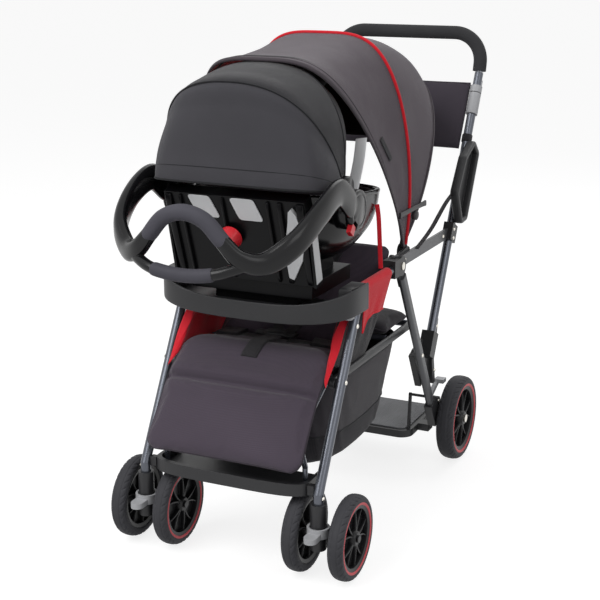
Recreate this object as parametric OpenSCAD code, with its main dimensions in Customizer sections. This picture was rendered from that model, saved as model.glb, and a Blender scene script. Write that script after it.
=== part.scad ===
// Sit-and-stand tandem stroller with an infant carrier docked on its front tray.
// Millimetres, +Z up, the stroller faces -Y, and X runs across it.
// The origin is on the ground, below the middle of the stroller.

/* [Wheels] */
// Diameter of a front wheel
front_wheel_d = 182; // [170:1:194]
// Width of a front wheel
front_wheel_w = 34; // [28:1:36]
// Diameter of a rear wheel
rear_wheel_d = 214; // [200:1:228]
// Width of a rear wheel
rear_wheel_w = 44; // [36:1:48]
// Distance from a caster's swivel axis back to its axle
caster_trail = 47; // [42:1:54]
// Distance from a caster's swivel axis to the inner face of each wheel
caster_half_gap = 35; // [32:1:38]
// Diameter of a front axle
front_axle_d = 8; // [6:1:10]
// Diameter of a rear axle
rear_axle_d = 12; // [10:1:14]
// Diameter of a caster's swivel stem
swivel_d = 12; // [10:1:14]

/* [Frame] */
// Half the distance between the front legs
leg_x = 205; // [202:1:210]
// Diameter of the front legs and the push handle's tubes
tube_d = 22; // [19:1:24]
// Place of the casters' swivel axes, ahead of the middle
stem_y = -432; // [-440:1:-426]
// Angle of the front legs from upright
leg_rake = 29; // [28:0.5:30]
// Height at which the front legs bend
leg_bend_z = 196; // [190:1:204]
// Height of the fold pivots
hub_z = 580; // [574:1:586]
// Place of the rear axle, behind the fold pivots
rear_axle_y = 345; // [335:1:355]
// Width of the flat-oval rear legs, seen from the side
rear_leg_w = 27; // [24:1:30]
// Thickness of the flat-oval rear legs
rear_leg_t = 16; // [14:1:17]
// Diameter of the fold pivots' pins
hub_pin_d = 10; // [8:1:12]
// Height of the lower side rails
rail_z = 398; // [392:1:404]
// Diameter of the lower side rails
rail_d = 18; // [16:1:20]

/* [Push handle] */
// Place of the handle's bar, behind the fold pivots
bar_y = 603; // [596:1:610]
// Height of the handle's bar
bar_z = 1056; // [1046:1:1066]
// Angle of the handle's straight tubes from upright
handle_rake = 28; // [27:0.5:29]
// Angle of the handle's bow from upright
bow_rake = 13; // [10:0.5:16]
// Length of the handle's bow, from its foot to the bar
bow_len = 100; // [96:1:110]
// Radius of the bow's corners
bow_corner_r = 75; // [65:1:80]
// Diameter of the foam grip
foam_d = 34; // [30:1:38]
// Height of the handle tubes' lower ends
handle_foot_z = 300; // [296:1:310]
// Travel of the fold levers along their tubes
lever_travel = 12; // [8:1:13]

/* [Hood] */
// Place of the hood's pivots, behind the fold pivots
hood_pivot_y = 100; // [94:1:106]
// Radius of the hood's crown at its front edge
hood_front_r = 610; // [600:1:616]
// Radius of the hood's crown at its piped middle bow
hood_mid_r = 512; // [506:1:518]
// Radius of the hood's crown at its rear edge
hood_rear_r = 490; // [480:1:496]
// Thickness of the hoods' cloth
cloth_t = 3; // [2:0.5:4]

/* [Tray and seat] */
// Half width of the front tray
tray_w = 226; // [224:1:232]
// Place of the tray's front edge
tray_front_y = -354; // [-360:1:-350]
// Height of the tray's floor
tray_floor_z = 545; // [541:1:549]
// Half width of the front seat's cushions
seat_w = 184; // [178:1:186]
// Thickness of the seat's cushions at their crown
cushion_t = 30; // [24:1:34]
// Half width of the footrest
footrest_w = 180; // [172:1:182]
// Half width of the standing platform
platform_w = 172; // [164:1:176]
// Height of the standing platform's top
platform_z = 110; // [104:1:114]

/* [Infant carrier] */
// Place of the carry handle's pivots, ahead of the fold pivots
carry_y = -265; // [-270:1:-260]
// Height of the carry handle's pivots
carry_z = 757; // [752:1:762]
// Half distance between the inner faces of the carry handle's discs
carry_x = 205; // [203:1:208]
// Diameter of the carry handle's arms
carry_d = 28; // [24:1:30]
// Half width of the carrier's hood
carrier_hood_w = 195; // [190:1:197]

/* [Clearances] */
// Gap between pieces that rest against each other
seat_gap = 0.3; // [0.2:0.05:0.5]
// Radial gap of the running fits
run_gap = 0.05; // [0.02:0.01:0.1]
// Gap between flat faces that turn past each other
side_gap = 0.5; // [0.3:0.1:1]

/* [Hidden] */
$fn = 64;
facets = 32;

// Colours
black = "#232326";
gunmetal = "#55585f";
light_grey = "#c6c7c9";
taupe = "#575257";
charcoal = "#3a3a3e";
red = "#e0202e";
plum = "#4a434b";
tyre_grey = "#3c3c3e";

// Wheels and casters
front_r = front_wheel_d / 2;
rear_r = rear_wheel_d / 2;
front_axle_y = stem_y + caster_trail;
socket_r = tube_d / 2 + 6;
socket_low = front_r + 37;
socket_top = socket_low + 48;
socket_web = 2;
stem_len = 18;
lock_h = 22;
lock_clear = 2;
fork_arm_w = 30;
fork_boss_r = 15;
axle_head_t = 3;

// Frame
tube_r = tube_d / 2;
rail_r = rail_d / 2;
leg_top_z = tray_floor_z - seat_gap;
function leg_y(z) = stem_y + max(0, z - leg_bend_z) * tan(leg_rake);
link_t = 7;
plate_t = 6;
cover_t = 8.5;
link_x = leg_x - 11.5;
lug_x = link_x + link_t + side_gap;
cover_x = lug_x + link_t + side_gap;
plate_x = link_x - side_gap - plate_t;
hub_r = 23;
link_h = 26;
rail_x = leg_x - tube_r - rail_r - 3;
rail_front_y = leg_y(rail_z);
rail_rear_y = 168;
cross_r = rail_r - 1;
seat_front_y = -293;
seat_back_y = -165;
bench_front_y = 20;
panel_t = 5;
panel_x = leg_x - tube_r - seat_gap - panel_t;
leg_step = 0.6;
rear_leg_x = lug_x + rear_leg_t / 2 + leg_step;
rear_leg_rake = atan2(268, hub_z - 125);
rear_leg_len = norm([268, hub_z - 125]);
rear_leg_start = hub_r + 10;
rear_wheel_x = rear_leg_x + rear_leg_t / 2 + 6;
housing_w = 20;
arm_z = hub_z - 2;
arm_r = 10;
arm_block_y = -46;

// Push handle
handle_x = leg_x - 5;
bow_foot = [bar_y - bow_len * sin(bow_rake), bar_z - bow_len * cos(bow_rake)];
handle_dir = [sin(handle_rake), cos(handle_rake)];
function handle_at(s) = bow_foot + s * handle_dir;
function handle_s(z) = (z - bow_foot[1]) / handle_dir[1];
handle_len = -handle_s(handle_foot_z);
foam_start = 4;
bow_spigot = tube_r * tan((handle_rake - bow_rake) / 2) + seat_gap / 2;
lever_top = -4 - lever_travel;
lever_len = 40;
collar_len = 56;
collar_r = tube_r + 4;
clamp_len = 44;
clamp_w = 38;
clamp_x0 = handle_x - tube_r - 1.5;
clamp_x1 = handle_x + tube_r + 1.5;
hold_x = handle_x + tube_r + seat_gap;
hold_t = 22;
bracket_x = handle_x - tube_r - 7;
bracket_t = 15;

// Hood
hood_pivot_z = hub_z + 10;
hood_w = plate_x - 1;
strip_w = 10;
strip_t = 4;
hood_step = cloth_t + strip_t + 1;
hood_power = 3.8;
hood_base_h = 18;
hood_pin_d = 8;

// Tray
tray_rear_y = -232;
tray_depth = tray_rear_y - tray_front_y;
tray_power = 2.8;
tray_t = 5;
tray_rim = 17;
tray_skirt = 23;
tray_block_y = -300;
tray_block_top = 598;
tray_block_x = leg_x - 16;

// Carrier
carry_pin_d = 16;
carry_disc_r = 42;
carry_disc_t = 15;
button_angle = 232;
button_w = 18;
button_x = 2;
button_t = 11;
button_low = 36;
button_len = 20;
button_travel = 6;
visor_in = 5;
carrier_floor = tray_floor_z + tray_t + seat_gap;
carrier_base_top = carrier_floor + 54;
carrier_foot_h = 22;

// A lump that is 1 in the middle of -1 to 1 and 0 at both ends
function lump(u, p) = sqrt(max(0, 1 - pow(abs(u), p)));
function lerp(a, b, t) = a + (b - a) * t;
function mean(pts) = [for (p = pts) 1 / len(pts)] * pts;
function unit(v) = v / norm(v);
function pick(v, k) = is_list(v) ? v[k] : v;

// Signed power, for superellipses
function spow(v, p) = sign(v) * pow(abs(v), p);

// Value at t of a list of [t, value] pairs
function table(t, rows) =
    let (k = max([0, for (i = [0:len(rows) - 2]) if (t >= rows[i][0]) i]))
    lerp(rows[k][1], rows[k + 1][1], (t - rows[k][0]) / (rows[k + 1][0] - rows[k][0]));

// A point of a Catmull-Rom curve through pts, at t from 0 to the last index
function curve_at(pts, t) =
    let (n = len(pts) - 1, k = min(floor(t), n - 1), f = t - k,
         a = pts[max(k - 1, 0)], b = pts[k], c = pts[k + 1], d = pts[min(k + 2, n)])
    0.5 * (2 * b + (c - a) * f + (2 * a - 5 * b + 4 * c - d) * f * f + (3 * b - a - 3 * c + d) * f * f * f);
function curve(pts, steps) = [for (i = [0:(len(pts) - 1) * steps]) curve_at(pts, i / steps)];

// Closed solid through rings of points, each ring anticlockwise seen from the last end
module loft(rings) {
    n = len(rings[0]);
    m = len(rings);
    points = concat([for (r = rings) each r], [mean(rings[0]), mean(rings[m - 1])]);
    sides = [for (k = [0:m - 2], i = [0:n - 1])
        let (a = k * n + i, b = k * n + (i + 1) % n) each [[a, a + n, b + n], [a, b + n, b]]];
    caps = [for (i = [0:n - 1])
        let (j = (i + 1) % n) each [[m * n, i, j], [m * n + 1, (m - 1) * n + j, (m - 1) * n + i]]];
    polyhedron(points, concat(sides, caps));
}

// Closed sheet between an upper and a lower grid of points
module sheet(upper, lower) {
    m = len(upper);
    n = len(upper[0]);
    ring = 2 * n;
    points = [for (k = [0:m - 1]) each concat(upper[k], [for (i = [n - 1:-1:0]) lower[k][i]])];
    sides = [for (k = [0:m - 2], i = [0:ring - 1])
        let (a = k * ring + i, b = k * ring + (i + 1) % ring)
        each [[a, a + ring, b + ring], [a, b + ring, b]]];
    last = (m - 1) * ring;
    caps = [for (i = [0:n - 2])
        let (a = i, b = i + 1, c = ring - 2 - i, d = ring - 1 - i)
        each [[a, b, c], [a, c, d], [last + a, last + c, last + b], [last + a, last + d, last + c]]];
    polyhedron(points, concat(sides, caps));
}

// Oval tube swept along a path; wide and high are sizes, or lists with one size for each point
module sweep(path, wide, high, sides) {
    m = len(path);
    loft([for (k = [0:m - 1])
        let (t = unit(path[min(k + 1, m - 1)] - path[max(k - 1, 0)]), u = unit(cross(t, [0, 0, 1])),
             v = cross(u, t))
        [for (i = [0:sides - 1]) path[k] + pick(wide, k) / 2 * cos(360 * i / sides) * u
            - pick(high, k) / 2 * sin(360 * i / sides) * v]]);
}

module side(s) {
    if (s > 0) children();
    else mirror([1, 0, 0]) children();
}

module both_sides() {
    children();
    mirror([1, 0, 0]) children();
}

// Rod along X between two x places
module rod_x(d, x0, x1, y, z) translate([x0, y, z]) rotate([0, 90, 0]) cylinder(d = d, h = x1 - x0);

// Frame of a straight tube in a plane of constant x: its own +Z runs from a to b
module along(x, a, b) translate([x, a[0], a[1]])
    rotate([-atan2(b[0] - a[0], b[1] - a[1]), 0, 0]) children();

module tube_yz(x, a, b, r) along(x, a, b) cylinder(r = r, h = norm(b - a));

// Tube bent at each [y, z] point; every second length is a little thinner, so no two are tangent
bend_step = 0.25;
function corner(a, b, c) = let (k = unit(b - a) * unit(c - b)) sqrt((1 - k) / (1 + k));
module bent_tube(x, pts, r) {
    last = len(pts) - 1;
    for (i = [0:last - 1]) {
        way = unit(pts[i + 1] - pts[i]);
        before = i == 0 ? 0 : r * corner(pts[i - 1], pts[i], pts[i + 1]);
        after = i == last - 1 ? 0 : r * corner(pts[i], pts[i + 1], pts[i + 2]);
        tube_yz(x, pts[i] - before * way, pts[i + 1] + after * way, i % 2 == 0 ? r : r - bend_step);
    }
}

// Plate of a [y, z] outline, from x0 and t thick
module plate(x0, t, outline) translate([x0, 0, 0]) rotate([90, 0, 90]) linear_extrude(t) polygon(outline);

// Flat bar with round ends between two [y, z] points
module bar_shape(a, b, w) {
    translate(a) circle(d = w);
    translate(b) circle(d = w);
    translate(a) rotate(atan2(b[1] - a[1], b[0] - a[0])) translate([0, -w / 2]) square([norm(b - a), w]);
}
module bar(x0, t, a, b, w) translate([x0, 0, 0]) rotate([90, 0, 90]) linear_extrude(t) bar_shape(a, b, w);

// Front legs and casters

module front_legs() color(gunmetal) both_sides() {
    low = socket_low + stem_len + socket_web;
    over = leg_top_z + tube_d;
    difference() {
        bent_tube(leg_x, [[stem_y, low], [stem_y, leg_bend_z], [leg_y(over), over]], tube_r);
        translate([leg_x - tube_d, leg_y(leg_top_z) - 2 * tube_d, leg_top_z])
            cube([2 * tube_d, 4 * tube_d, 3 * tube_d]);
    }
}

module caster_sockets() color(black) both_sides() translate([leg_x, stem_y, 0]) difference() {
    translate([0, 0, socket_low]) cylinder(r = socket_r, h = socket_top - socket_low);
    translate([0, 0, socket_low + stem_len + socket_web]) cylinder(r = tube_r + run_gap, h = socket_top);
    translate([0, 0, socket_low - 1]) cylinder(d = swivel_d + 2 * run_gap, h = stem_len + 1);
}

module caster_fork(s) color(black) side(s) translate([leg_x, stem_y, 0]) {
    post_low = front_r - fork_boss_r;
    arm_top = socket_low - lock_h - seat_gap;
    translate([0, 0, post_low]) cylinder(r = socket_r, h = socket_low - seat_gap - post_low);
    translate([0, 0, socket_low - seat_gap - 1]) cylinder(d = swivel_d, h = stem_len);
    translate([-fork_arm_w / 2, 0, post_low]) cube([fork_arm_w, caster_trail, arm_top - post_low]);
    rod_x(2 * fork_boss_r, -caster_half_gap + side_gap, caster_half_gap - side_gap, caster_trail, front_r);
    outer = caster_half_gap + front_wheel_w + side_gap;
    rod_x(front_axle_d, -outer, outer, caster_trail, front_r);
    for (end = [-1, 1]) rod_x(2 * front_axle_d, end > 0 ? outer : -outer - axle_head_t,
        end > 0 ? outer + axle_head_t : -outer, caster_trail, front_r);
}

module swivel_lock(s) color(light_grey) side(s) translate([leg_x, stem_y, socket_low - lock_h]) {
    difference() {
        union() {
            cylinder(r = socket_r + lock_clear + 5, h = lock_h - 2);
            translate([-14, -socket_r - 22, 0]) cube([28, 22, 12]);
            translate([0, -socket_r - 22, 0]) cylinder(r = 14, h = 12);
        }
        translate([0, 0, -1]) cylinder(r = socket_r + lock_clear, h = lock_h);
    }
}

// Wheel about X with its inner face at x = 0
module wheel(r, w, bore, spokes) {
    edge = w / 4;
    rim_r = r * 0.72;
    hub = r * 0.17;
    rotate([0, 90, 0]) difference() {
        union() {
            rotate_extrude() {
                translate([rim_r, edge]) square([r - rim_r, w - 2 * edge]);
                translate([rim_r, 0]) square([r - rim_r - edge, w]);
                for (end = [edge, w - edge]) translate([r - edge, end]) circle(r = edge);
            }
            cylinder(r = hub, h = w);
            translate([0, 0, w * 0.42]) cylinder(r = rim_r + 1, h = w * 0.16);
            for (k = [0:spokes - 1]) rotate([0, 0, 360 * k / spokes])
                translate([0, -r * 0.05, w * 0.2]) cube([rim_r + 1, r * 0.1, w * 0.6]);
        }
        translate([0, 0, -1]) cylinder(r = bore, h = w + 2);
    }
}

module front_wheel(s, out) color(tyre_grey) side(s) translate([leg_x, front_axle_y, front_r]) side(out)
    translate([caster_half_gap, 0, 0]) wheel(front_r, front_wheel_w, front_axle_d / 2 + run_gap, 5);

// Footrest, rails and cross tubes

footrest_low = leg_bend_z - 8;
footrest_floor = footrest_low + 5;

module footrest() color(black) {
    rim = 27;
    wall = 8;
    back = stem_y + 100;
    outline = [for (t = [0:6:180]) [footrest_w * spow(cos(t), 0.5), stem_y + 17 - 42 * spow(sin(t), 0.7)]];
    shape = concat(outline, [[-footrest_w, back], [footrest_w, back]]);
    difference() {
        translate([0, 0, footrest_low]) linear_extrude(rim) polygon(shape);
        translate([0, 0, footrest_floor]) linear_extrude(rim) polygon([for (p = shape)
            [p[0] * (footrest_w - wall) / footrest_w, lerp(back, p[1], p[1] < back ? 0.92 : 1.2)]]);
    }
    both_sides() translate([footrest_w - 1, stem_y + 1, footrest_low + 2])
        cube([leg_x - tube_r - footrest_w + 1 - seat_gap, 14, rim - 6]);
}

calf_path = [
    [-300, 426], [-322, 415], [-348, 400], [-371, 381], [-392, 355], [-414, 325], [-437, 293], [-463, 256]
];
calf_edge = 10;
calf_frame_r = 6;

// A place on the back of the calf pad where a tube of the calf frame lies against it
function calf_rest(k) = calf_path[k] - (calf_edge / 2 + calf_frame_r + seat_gap) * face_normal(calf_path, k);

module calf_frame() color(gunmetal) both_sides() {
    x = footrest_w - 16;
    knee = calf_rest(4);
    low = calf_rest(6);
    bend = [-408, 240];
    cross = [seat_front_y, rail_z];
    top = cross + (cross_r + seat_gap) * unit(knee - cross);
    bent_tube(x, [top, knee, low, bend, [bend[0], footrest_floor + seat_gap]], calf_frame_r);
}

module lower_rails() color(gunmetal) both_sides() {
    tube_yz(rail_x, [rail_front_y, rail_z], [rail_rear_y, rail_z], rail_r);
    rod_x(rail_d + 4, rail_x, leg_x - tube_r - seat_gap, rail_front_y, rail_z);
}

module cross_tubes() color(gunmetal) {
    end = rail_x - rail_r - seat_gap / 2;
    for (y = [seat_front_y, seat_back_y, bench_front_y, rail_rear_y - rail_r])
        rod_x(2 * cross_r, -end, end, y, rail_z);
}

// Armrests and fold pivots

module armrests() color(gunmetal) both_sides()
    tube_yz(leg_x, [tray_rear_y + seat_gap, arm_z], [arm_block_y - seat_gap, arm_z], arm_r);

module hub_housings() color(black) both_sides() difference() {
    block_h = 40;
    union() {
        for (x = [[plate_x, plate_t], [cover_x, cover_t]]) {
            rod_x(2 * hub_r, x[0], x[0] + x[1], 0, hub_z);
            translate([x[0], arm_block_y, hub_z - block_h / 2]) cube([x[1], -arm_block_y, block_h]);
        }
        translate([plate_x, arm_block_y, hub_z - block_h / 2])
            cube([cover_x + cover_t - plate_x, 18, block_h]);
        bar(plate_x, plate_t, [0, hub_z], [hood_pivot_y, hood_pivot_z], 24);
    }
    rod_x(hub_pin_d + 2 * run_gap, plate_x - 1, cover_x + cover_t + 1, 0, hub_z);
    rod_x(hood_pin_d + 2 * run_gap, plate_x - 1, plate_x + plate_t + 1, hood_pivot_y, hood_pivot_z);
}

module hub_pins() color(light_grey) both_sides() {
    rod_x(hub_pin_d, plate_x - 1, cover_x + cover_t, 0, hub_z);
    rod_x(hub_pin_d + 8, cover_x + cover_t + seat_gap / 3, cover_x + cover_t + 3, 0, hub_z);
    rod_x(hub_pin_d, cover_x + cover_t - 0.1, cover_x + cover_t + 1, 0, hub_z);
}

// Front tray

function tray_xy(inset, t) = [(tray_w - inset) * spow(cos(t), 2 / tray_power),
    tray_rear_y - (tray_depth - inset) * pow(sin(t), 2 / tray_power)];

module tray() color(black) {
    angles = [0:6:180];
    rise = tray_block_top - tray_floor_z - tray_rim;
    loft([for (t = angles)
        let (o = tray_xy(0, t), i = tray_xy(tray_t, t), k = pow(abs(o[0]) / tray_w, 3),
             low = tray_floor_z - tray_skirt * (1 - 0.8 * k), top = tray_floor_z + tray_rim + rise * k)
        [[o[0], o[1], top], [i[0], i[1], top], [i[0], i[1], low], [o[0], o[1], low]]]);
    inner = [for (t = angles) tray_xy(tray_t + seat_gap, t)];
    translate([0, 0, tray_floor_z]) linear_extrude(tray_t) polygon(inner);
    both_sides() translate([0, 0, tray_floor_z + tray_t])
        linear_extrude(tray_block_top - tray_floor_z - tray_t) intersection() {
            polygon(inner);
            translate([tray_block_x, tray_block_y]) square([tray_w, tray_w]);
        }
}

module tray_tab(s) color(light_grey) side(s) {
    tab_h = 17;
    tab_y = leg_y(tray_floor_z - tab_h) - 34;
    translate([leg_x - 8, tab_y, tray_floor_z - tab_h - seat_gap]) cube([16, 14, tab_h]);
    translate([leg_x, tab_y, tray_floor_z - tab_h - seat_gap]) cylinder(r = 8, h = 6);
}

// Cushions and cloth

// Rows of points of a cushion along a path of [y, z] stations, crowned on its upper face
function face_normal(path, k) =
    let (d = path[min(k + 1, len(path) - 1)] - path[max(k - 1, 0)]) [d[1], -d[0]] / norm(d);
function pad_rows(path, w, pull, edge, crown, channels, top) = [for (k = [0:len(path) - 1])
    let (v = 2 * k / (len(path) - 1) - 1, n = face_normal(path, k))
    [for (i = [0:16])
        let (u = 1 - i / 8, dip = channels == 0 ? 0 : 0.18 * crown * pow(cos(180 * channels * u), 8),
             h = top ? edge / 2 + lump(u, 4) * lump(v, 4) * (crown - dip) : -edge / 2)
        [w * u * (1 - pull * lump(v, 2)), path[k][0] + n[0] * h, path[k][1] + n[1] * h]]];
module pad(path, w, pull, edge, crown, channels)
    sheet(pad_rows(path, w, pull, edge, crown, channels, true),
        pad_rows(path, w, pull, edge, crown, channels, false));
function straight(a, b, n) = [for (k = [0:n]) lerp(a, b, k / n)];

// Mid plane of a cushion with this edge thickness that lies on the lower rails
function on_rails(edge) = rail_z + rail_r + seat_gap + edge / 2;

module seat_cushion() color(plum) {
    edge = 10;
    z = on_rails(edge);
    pad(straight([seat_back_y - 2, z], [seat_front_y - 5, z], 8), seat_w, 0.02, edge, cushion_t - edge, 0);
}

module calf_pad() color(plum) pad(calf_path, seat_w, 0.03, calf_edge, cushion_t - calf_edge - 2, 0);

back_top = [52, 612];
module backrest() color(plum) {
    edge = 12;
    pivot = [seat_back_y, rail_z];
    low = pivot + (cross_r + seat_gap) * unit(back_top - pivot);
    pad(straight(back_top, low, 10), seat_w - edge, 0.03, edge, cushion_t - edge, 2);
}

module side_panels() color(red) both_sides() {
    top = arm_z - arm_r - 4;
    low = rail_z + rail_r + 5;
    plate(panel_x, panel_t, [[-150, low], [rail_front_y - 8, low], [-244, low + 88],
        [-150, top], [-60, top], [-70, low + 86]]);
}

bag_wall = 4;
bag_y = -80;
bag_levels = [172, 184, 258, 320, rail_z - rail_r - seat_gap];
bag_lengths = [186, 203, 214, 221, 226];
bag_widths = [126, 146, 160, 172, rail_x + bag_wall / 2];
bag_sag = [11, 28, 11, 4, 0];
function bag_ring(k, inset, lift) = [for (i = [0:35])
    let (t = 10 * i, x = (bag_widths[k] - inset) * spow(cos(t), 0.5),
         y = (bag_lengths[k] - inset) * spow(sin(t), 0.5))
    [x, bag_y + y, bag_levels[k] + lift + bag_sag[k] * pow(y / bag_lengths[k], 2) * 0.5]];
module basket() color(charcoal) loft([for (k = [0:4]) bag_ring(k, 0, 0),
    for (k = [4:-1:0]) bag_ring(k, bag_wall, k < 2 ? bag_wall : 0)]);

module rear_bench() color(charcoal) {
    edge = 14;
    z = on_rails(edge);
    pad(straight([rail_rear_y - 4, z], [bench_front_y - 10, z], 8), seat_w - 1, 0.02, edge, 18, 0);
}

// Points of a hood's bow: a superellipse of half width w and height r, leaning by angle towards the front
function bow(y, z, w, r, power, base, angle) = [for (t = [0:7.5:180])
    let (h = base + (r - base) * pow(max(0, sin(t)), 2 / power))
    [-w * spow(cos(t), 2 / power), y - h * sin(angle), z + h * cos(angle)]];

// Cloth over bows that are each given as angle, radius, half width and power
module hood(y, z, base, bows)
    sheet([for (b = bows) bow(y, z, b[2], b[1], b[3], base, b[0])],
        [for (b = bows) bow(y, z, b[2] - cloth_t, b[1] - cloth_t, b[3], base, b[0])]);

// Flat strip that holds up the stroller's hood, with its outer face at half width w and height r
module hood_strip(w, r, angle) {
    across = strip_w / 2 * [0, cos(angle), sin(angle)];
    sheet([for (k = [-1, 1]) [for (p = bow(hood_pivot_y, hood_pivot_z, w, r, hood_power, hood_base_h, angle))
            p + k * across]],
        [for (k = [-1, 1]) [for (p = bow(hood_pivot_y, hood_pivot_z, w - strip_t, r - strip_t, hood_power,
            hood_base_h, angle)) p + k * across]]);
}

hood_front_a = 38;
hood_mid_a = 7;
hood_rear_a = -38;
hood_lap_a = 3;
hood_turns = [
    [hood_rear_a, hood_rear_r], [-26, hood_mid_r - 12], [-12, hood_mid_r - 10], [hood_mid_a, hood_mid_r],
    [20, lerp(hood_mid_r, hood_front_r, 0.17)], [31, lerp(hood_mid_r, hood_front_r, 0.55)],
    [hood_front_a, hood_front_r]
];
function hood_r(a) = table(a, hood_turns);
hood_disc_d = 2 * (hood_base_h - seat_gap);

module hood_front() color(taupe) hood(hood_pivot_y, hood_pivot_z, hood_base_h,
    [for (k = [0:8]) let (a = lerp(hood_front_a, hood_mid_a - hood_lap_a, k / 8))
        [a, hood_r(max(a, hood_mid_a)), hood_w, hood_power]]);

module hood_rear() color(taupe) hood(hood_pivot_y, hood_pivot_z, hood_base_h,
    [for (k = [0:8]) let (a = lerp(hood_mid_a + hood_lap_a, hood_rear_a, k / 8))
        [a, hood_r(min(a, hood_mid_a)) - hood_step, hood_w - hood_step, hood_power]]);

hood_strip_x = hood_w - cloth_t - seat_gap - strip_t;
rear_strip_w = hood_w - hood_step - cloth_t - seat_gap;

module hood_front_bow() color(black) {
    hood_strip(hood_w - cloth_t - seat_gap, hood_r(hood_front_a - 2) - cloth_t - seat_gap, hood_front_a - 1);
    both_sides() {
        rod_x(hood_pin_d, rear_strip_w - strip_t - 2, plate_x + plate_t, hood_pivot_y, hood_pivot_z);
        rod_x(hood_disc_d, hood_strip_x, hood_w, hood_pivot_y, hood_pivot_z);
    }
}

module hood_rear_bow() color(black) {
    hood_strip(rear_strip_w, hood_r(1) - hood_step - cloth_t - 4 * seat_gap, 2);
    both_sides() difference() {
        rod_x(hood_disc_d, rear_strip_w - strip_t, hood_w - hood_step, hood_pivot_y, hood_pivot_z);
        rod_x(hood_pin_d + 2 * run_gap, 0, hood_w, hood_pivot_y, hood_pivot_z);
    }
}

// Push handle

// Places its children at distance s along the handle's right tube
module on_handle(s) translate([handle_x, handle_at(s)[0], handle_at(s)[1]])
    rotate([-handle_rake, 0, 0]) children();

module handle_tubes() color(gunmetal) both_sides() on_handle(-handle_len)
    cylinder(r = tube_r, h = handle_len - bow_spigot);

// Half of the bow's centre line as a solid of radius r, from height low
module bow_half(r, low) {
    translate([handle_x, 0, low]) cylinder(r = r, h = bow_len - bow_corner_r - low);
    translate([handle_x - bow_corner_r, 0, bow_len - bow_corner_r]) rotate([90, 0, 0])
        rotate_extrude(angle = 90) translate([bow_corner_r, 0]) circle(r = r);
    translate([0, 0, bow_len]) rotate([0, 90, 0]) cylinder(r = r, h = handle_x - bow_corner_r);
}
module bow_frame() translate([0, bow_foot[0], bow_foot[1]]) rotate([-bow_rake, 0, 0])
    both_sides() children();

module handle_bow() color(gunmetal) bow_frame() bow_half(tube_r, bow_spigot);

module foam_grip() color(black) difference() {
    bow_frame() bow_half(foam_d / 2, foam_start);
    bow_frame() bow_half(tube_r + run_gap, foam_start - 1);
}

module fold_collars() color(light_grey) both_sides()
    on_handle(lever_top - lever_len - collar_len - 2) difference() {
        cylinder(r = collar_r, h = collar_len);
        translate([0, 0, -1]) cylinder(r = tube_r + run_gap, h = collar_len + 2);
    }

module fold_lever(s) color(light_grey) side(s) on_handle(lever_top - lever_len) difference() {
    union() {
        cylinder(r = collar_r, h = lever_len * 0.45);
        translate([-8, tube_r - 2, 0]) cube([16, 9, lever_len]);
    }
    translate([0, 0, -1]) cylinder(r = tube_r + seat_gap, h = lever_len + 2);
}

module clamp_block(grow) translate([clamp_x0 - handle_x - grow, -clamp_w / 2 - grow, -clamp_len / 2 - grow])
    cube([clamp_x1 - clamp_x0 + 2 * grow, clamp_w + 2 * grow, clamp_len + 2 * grow]);

module upper_links() color(gunmetal) both_sides() difference() {
    bar(link_x, link_t, [0, hub_z], [handle_at(handle_s(hub_z))[0], hub_z], link_h);
    rod_x(hub_pin_d + 2 * run_gap, link_x - 1, link_x + link_t + 1, 0, hub_z);
    on_handle(handle_s(hub_z)) {
        clamp_block(seat_gap / 2);
        translate([-tube_d, 0, -clamp_len]) cube([2 * tube_d, clamp_len, 2 * clamp_len]);
    }
}

module link_clamps() color(black) both_sides() on_handle(handle_s(hub_z)) difference() {
    clamp_block(0);
    translate([0, 0, -clamp_len]) cylinder(r = tube_r + run_gap, h = 2 * clamp_len);
}

// D-shaped hand hold for the standing child: a rim round a shallow dish
hold_outline = [[486, 762], [410, 622], [386, 620], [352, 688], [404, 758], [462, 784]];
hold_corner_r = 16;
module hold_shape(x0, t, grow) hull() for (p = hold_outline)
    rod_x(2 * (hold_corner_r + grow), x0, x0 + t, p[0], p[1], $fn = facets);
module hand_holds() color(black) both_sides() difference() {
    hold_shape(hold_x, hold_t, 0);
    hold_shape(hold_x + 5, hold_t, -13);
}

// Bracket at the foot of a handle tube, beside the rear leg
module lower_brackets() color(black) both_sides() difference() {
    union() {
        plate(bracket_x, 6, [[150, 318], [172, 330], [300, 352], [284, 272], [294, 210], [206, 230]]);
        plate(bracket_x, bracket_t, [[322, 370], [308, 370], [280, 271], [292, 207], [309, 207], [296, 271]]);
        plate(bracket_x, bracket_t, [[148, 320], [158, 324], [210, 232], [200, 228]]);
        on_handle(-handle_len - 4) translate([bracket_x - handle_x, -tube_r - 6, 0])
            cube([tube_r + 3 + handle_x - bracket_x, tube_d + 14, 64]);
    }
    on_handle(-handle_len - seat_gap) cylinder(r = tube_r + run_gap, h = 2 * handle_len);
}

organiser_w = handle_x - collar_r - seat_gap;
module organiser() color(charcoal) {
    depth = 26;
    edge = 4;
    rows = [for (k = [0:6]) handle_at(lerp(handle_s(932), handle_s(772), k / 6))];
    sheet([for (p = rows) [for (i = [0:16]) let (u = 1 - i / 8, sag = depth * lump(u, 4))
            [organiser_w * u, p[0] - sag - edge, p[1] + 0.4 * sag]]],
        [for (p = rows) [for (i = [0:16]) let (u = 1 - i / 8) [organiser_w * u, p[0] + edge, p[1]]]]);
}

// Rear frame

function rear_leg_at(s) = [s * sin(rear_leg_rake), hub_z - s * cos(rear_leg_rake)];
module oval(x, a, b, w, t) along(x, a, b) linear_extrude(norm(b - a)) {
    for (k = [-1, 1]) translate([0, k * (w - t) / 2]) circle(d = t);
    translate([-t / 2, (t - w) / 2]) square([t, w - t]);
}
rear_leg_end = rear_leg_len - 4;

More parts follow.
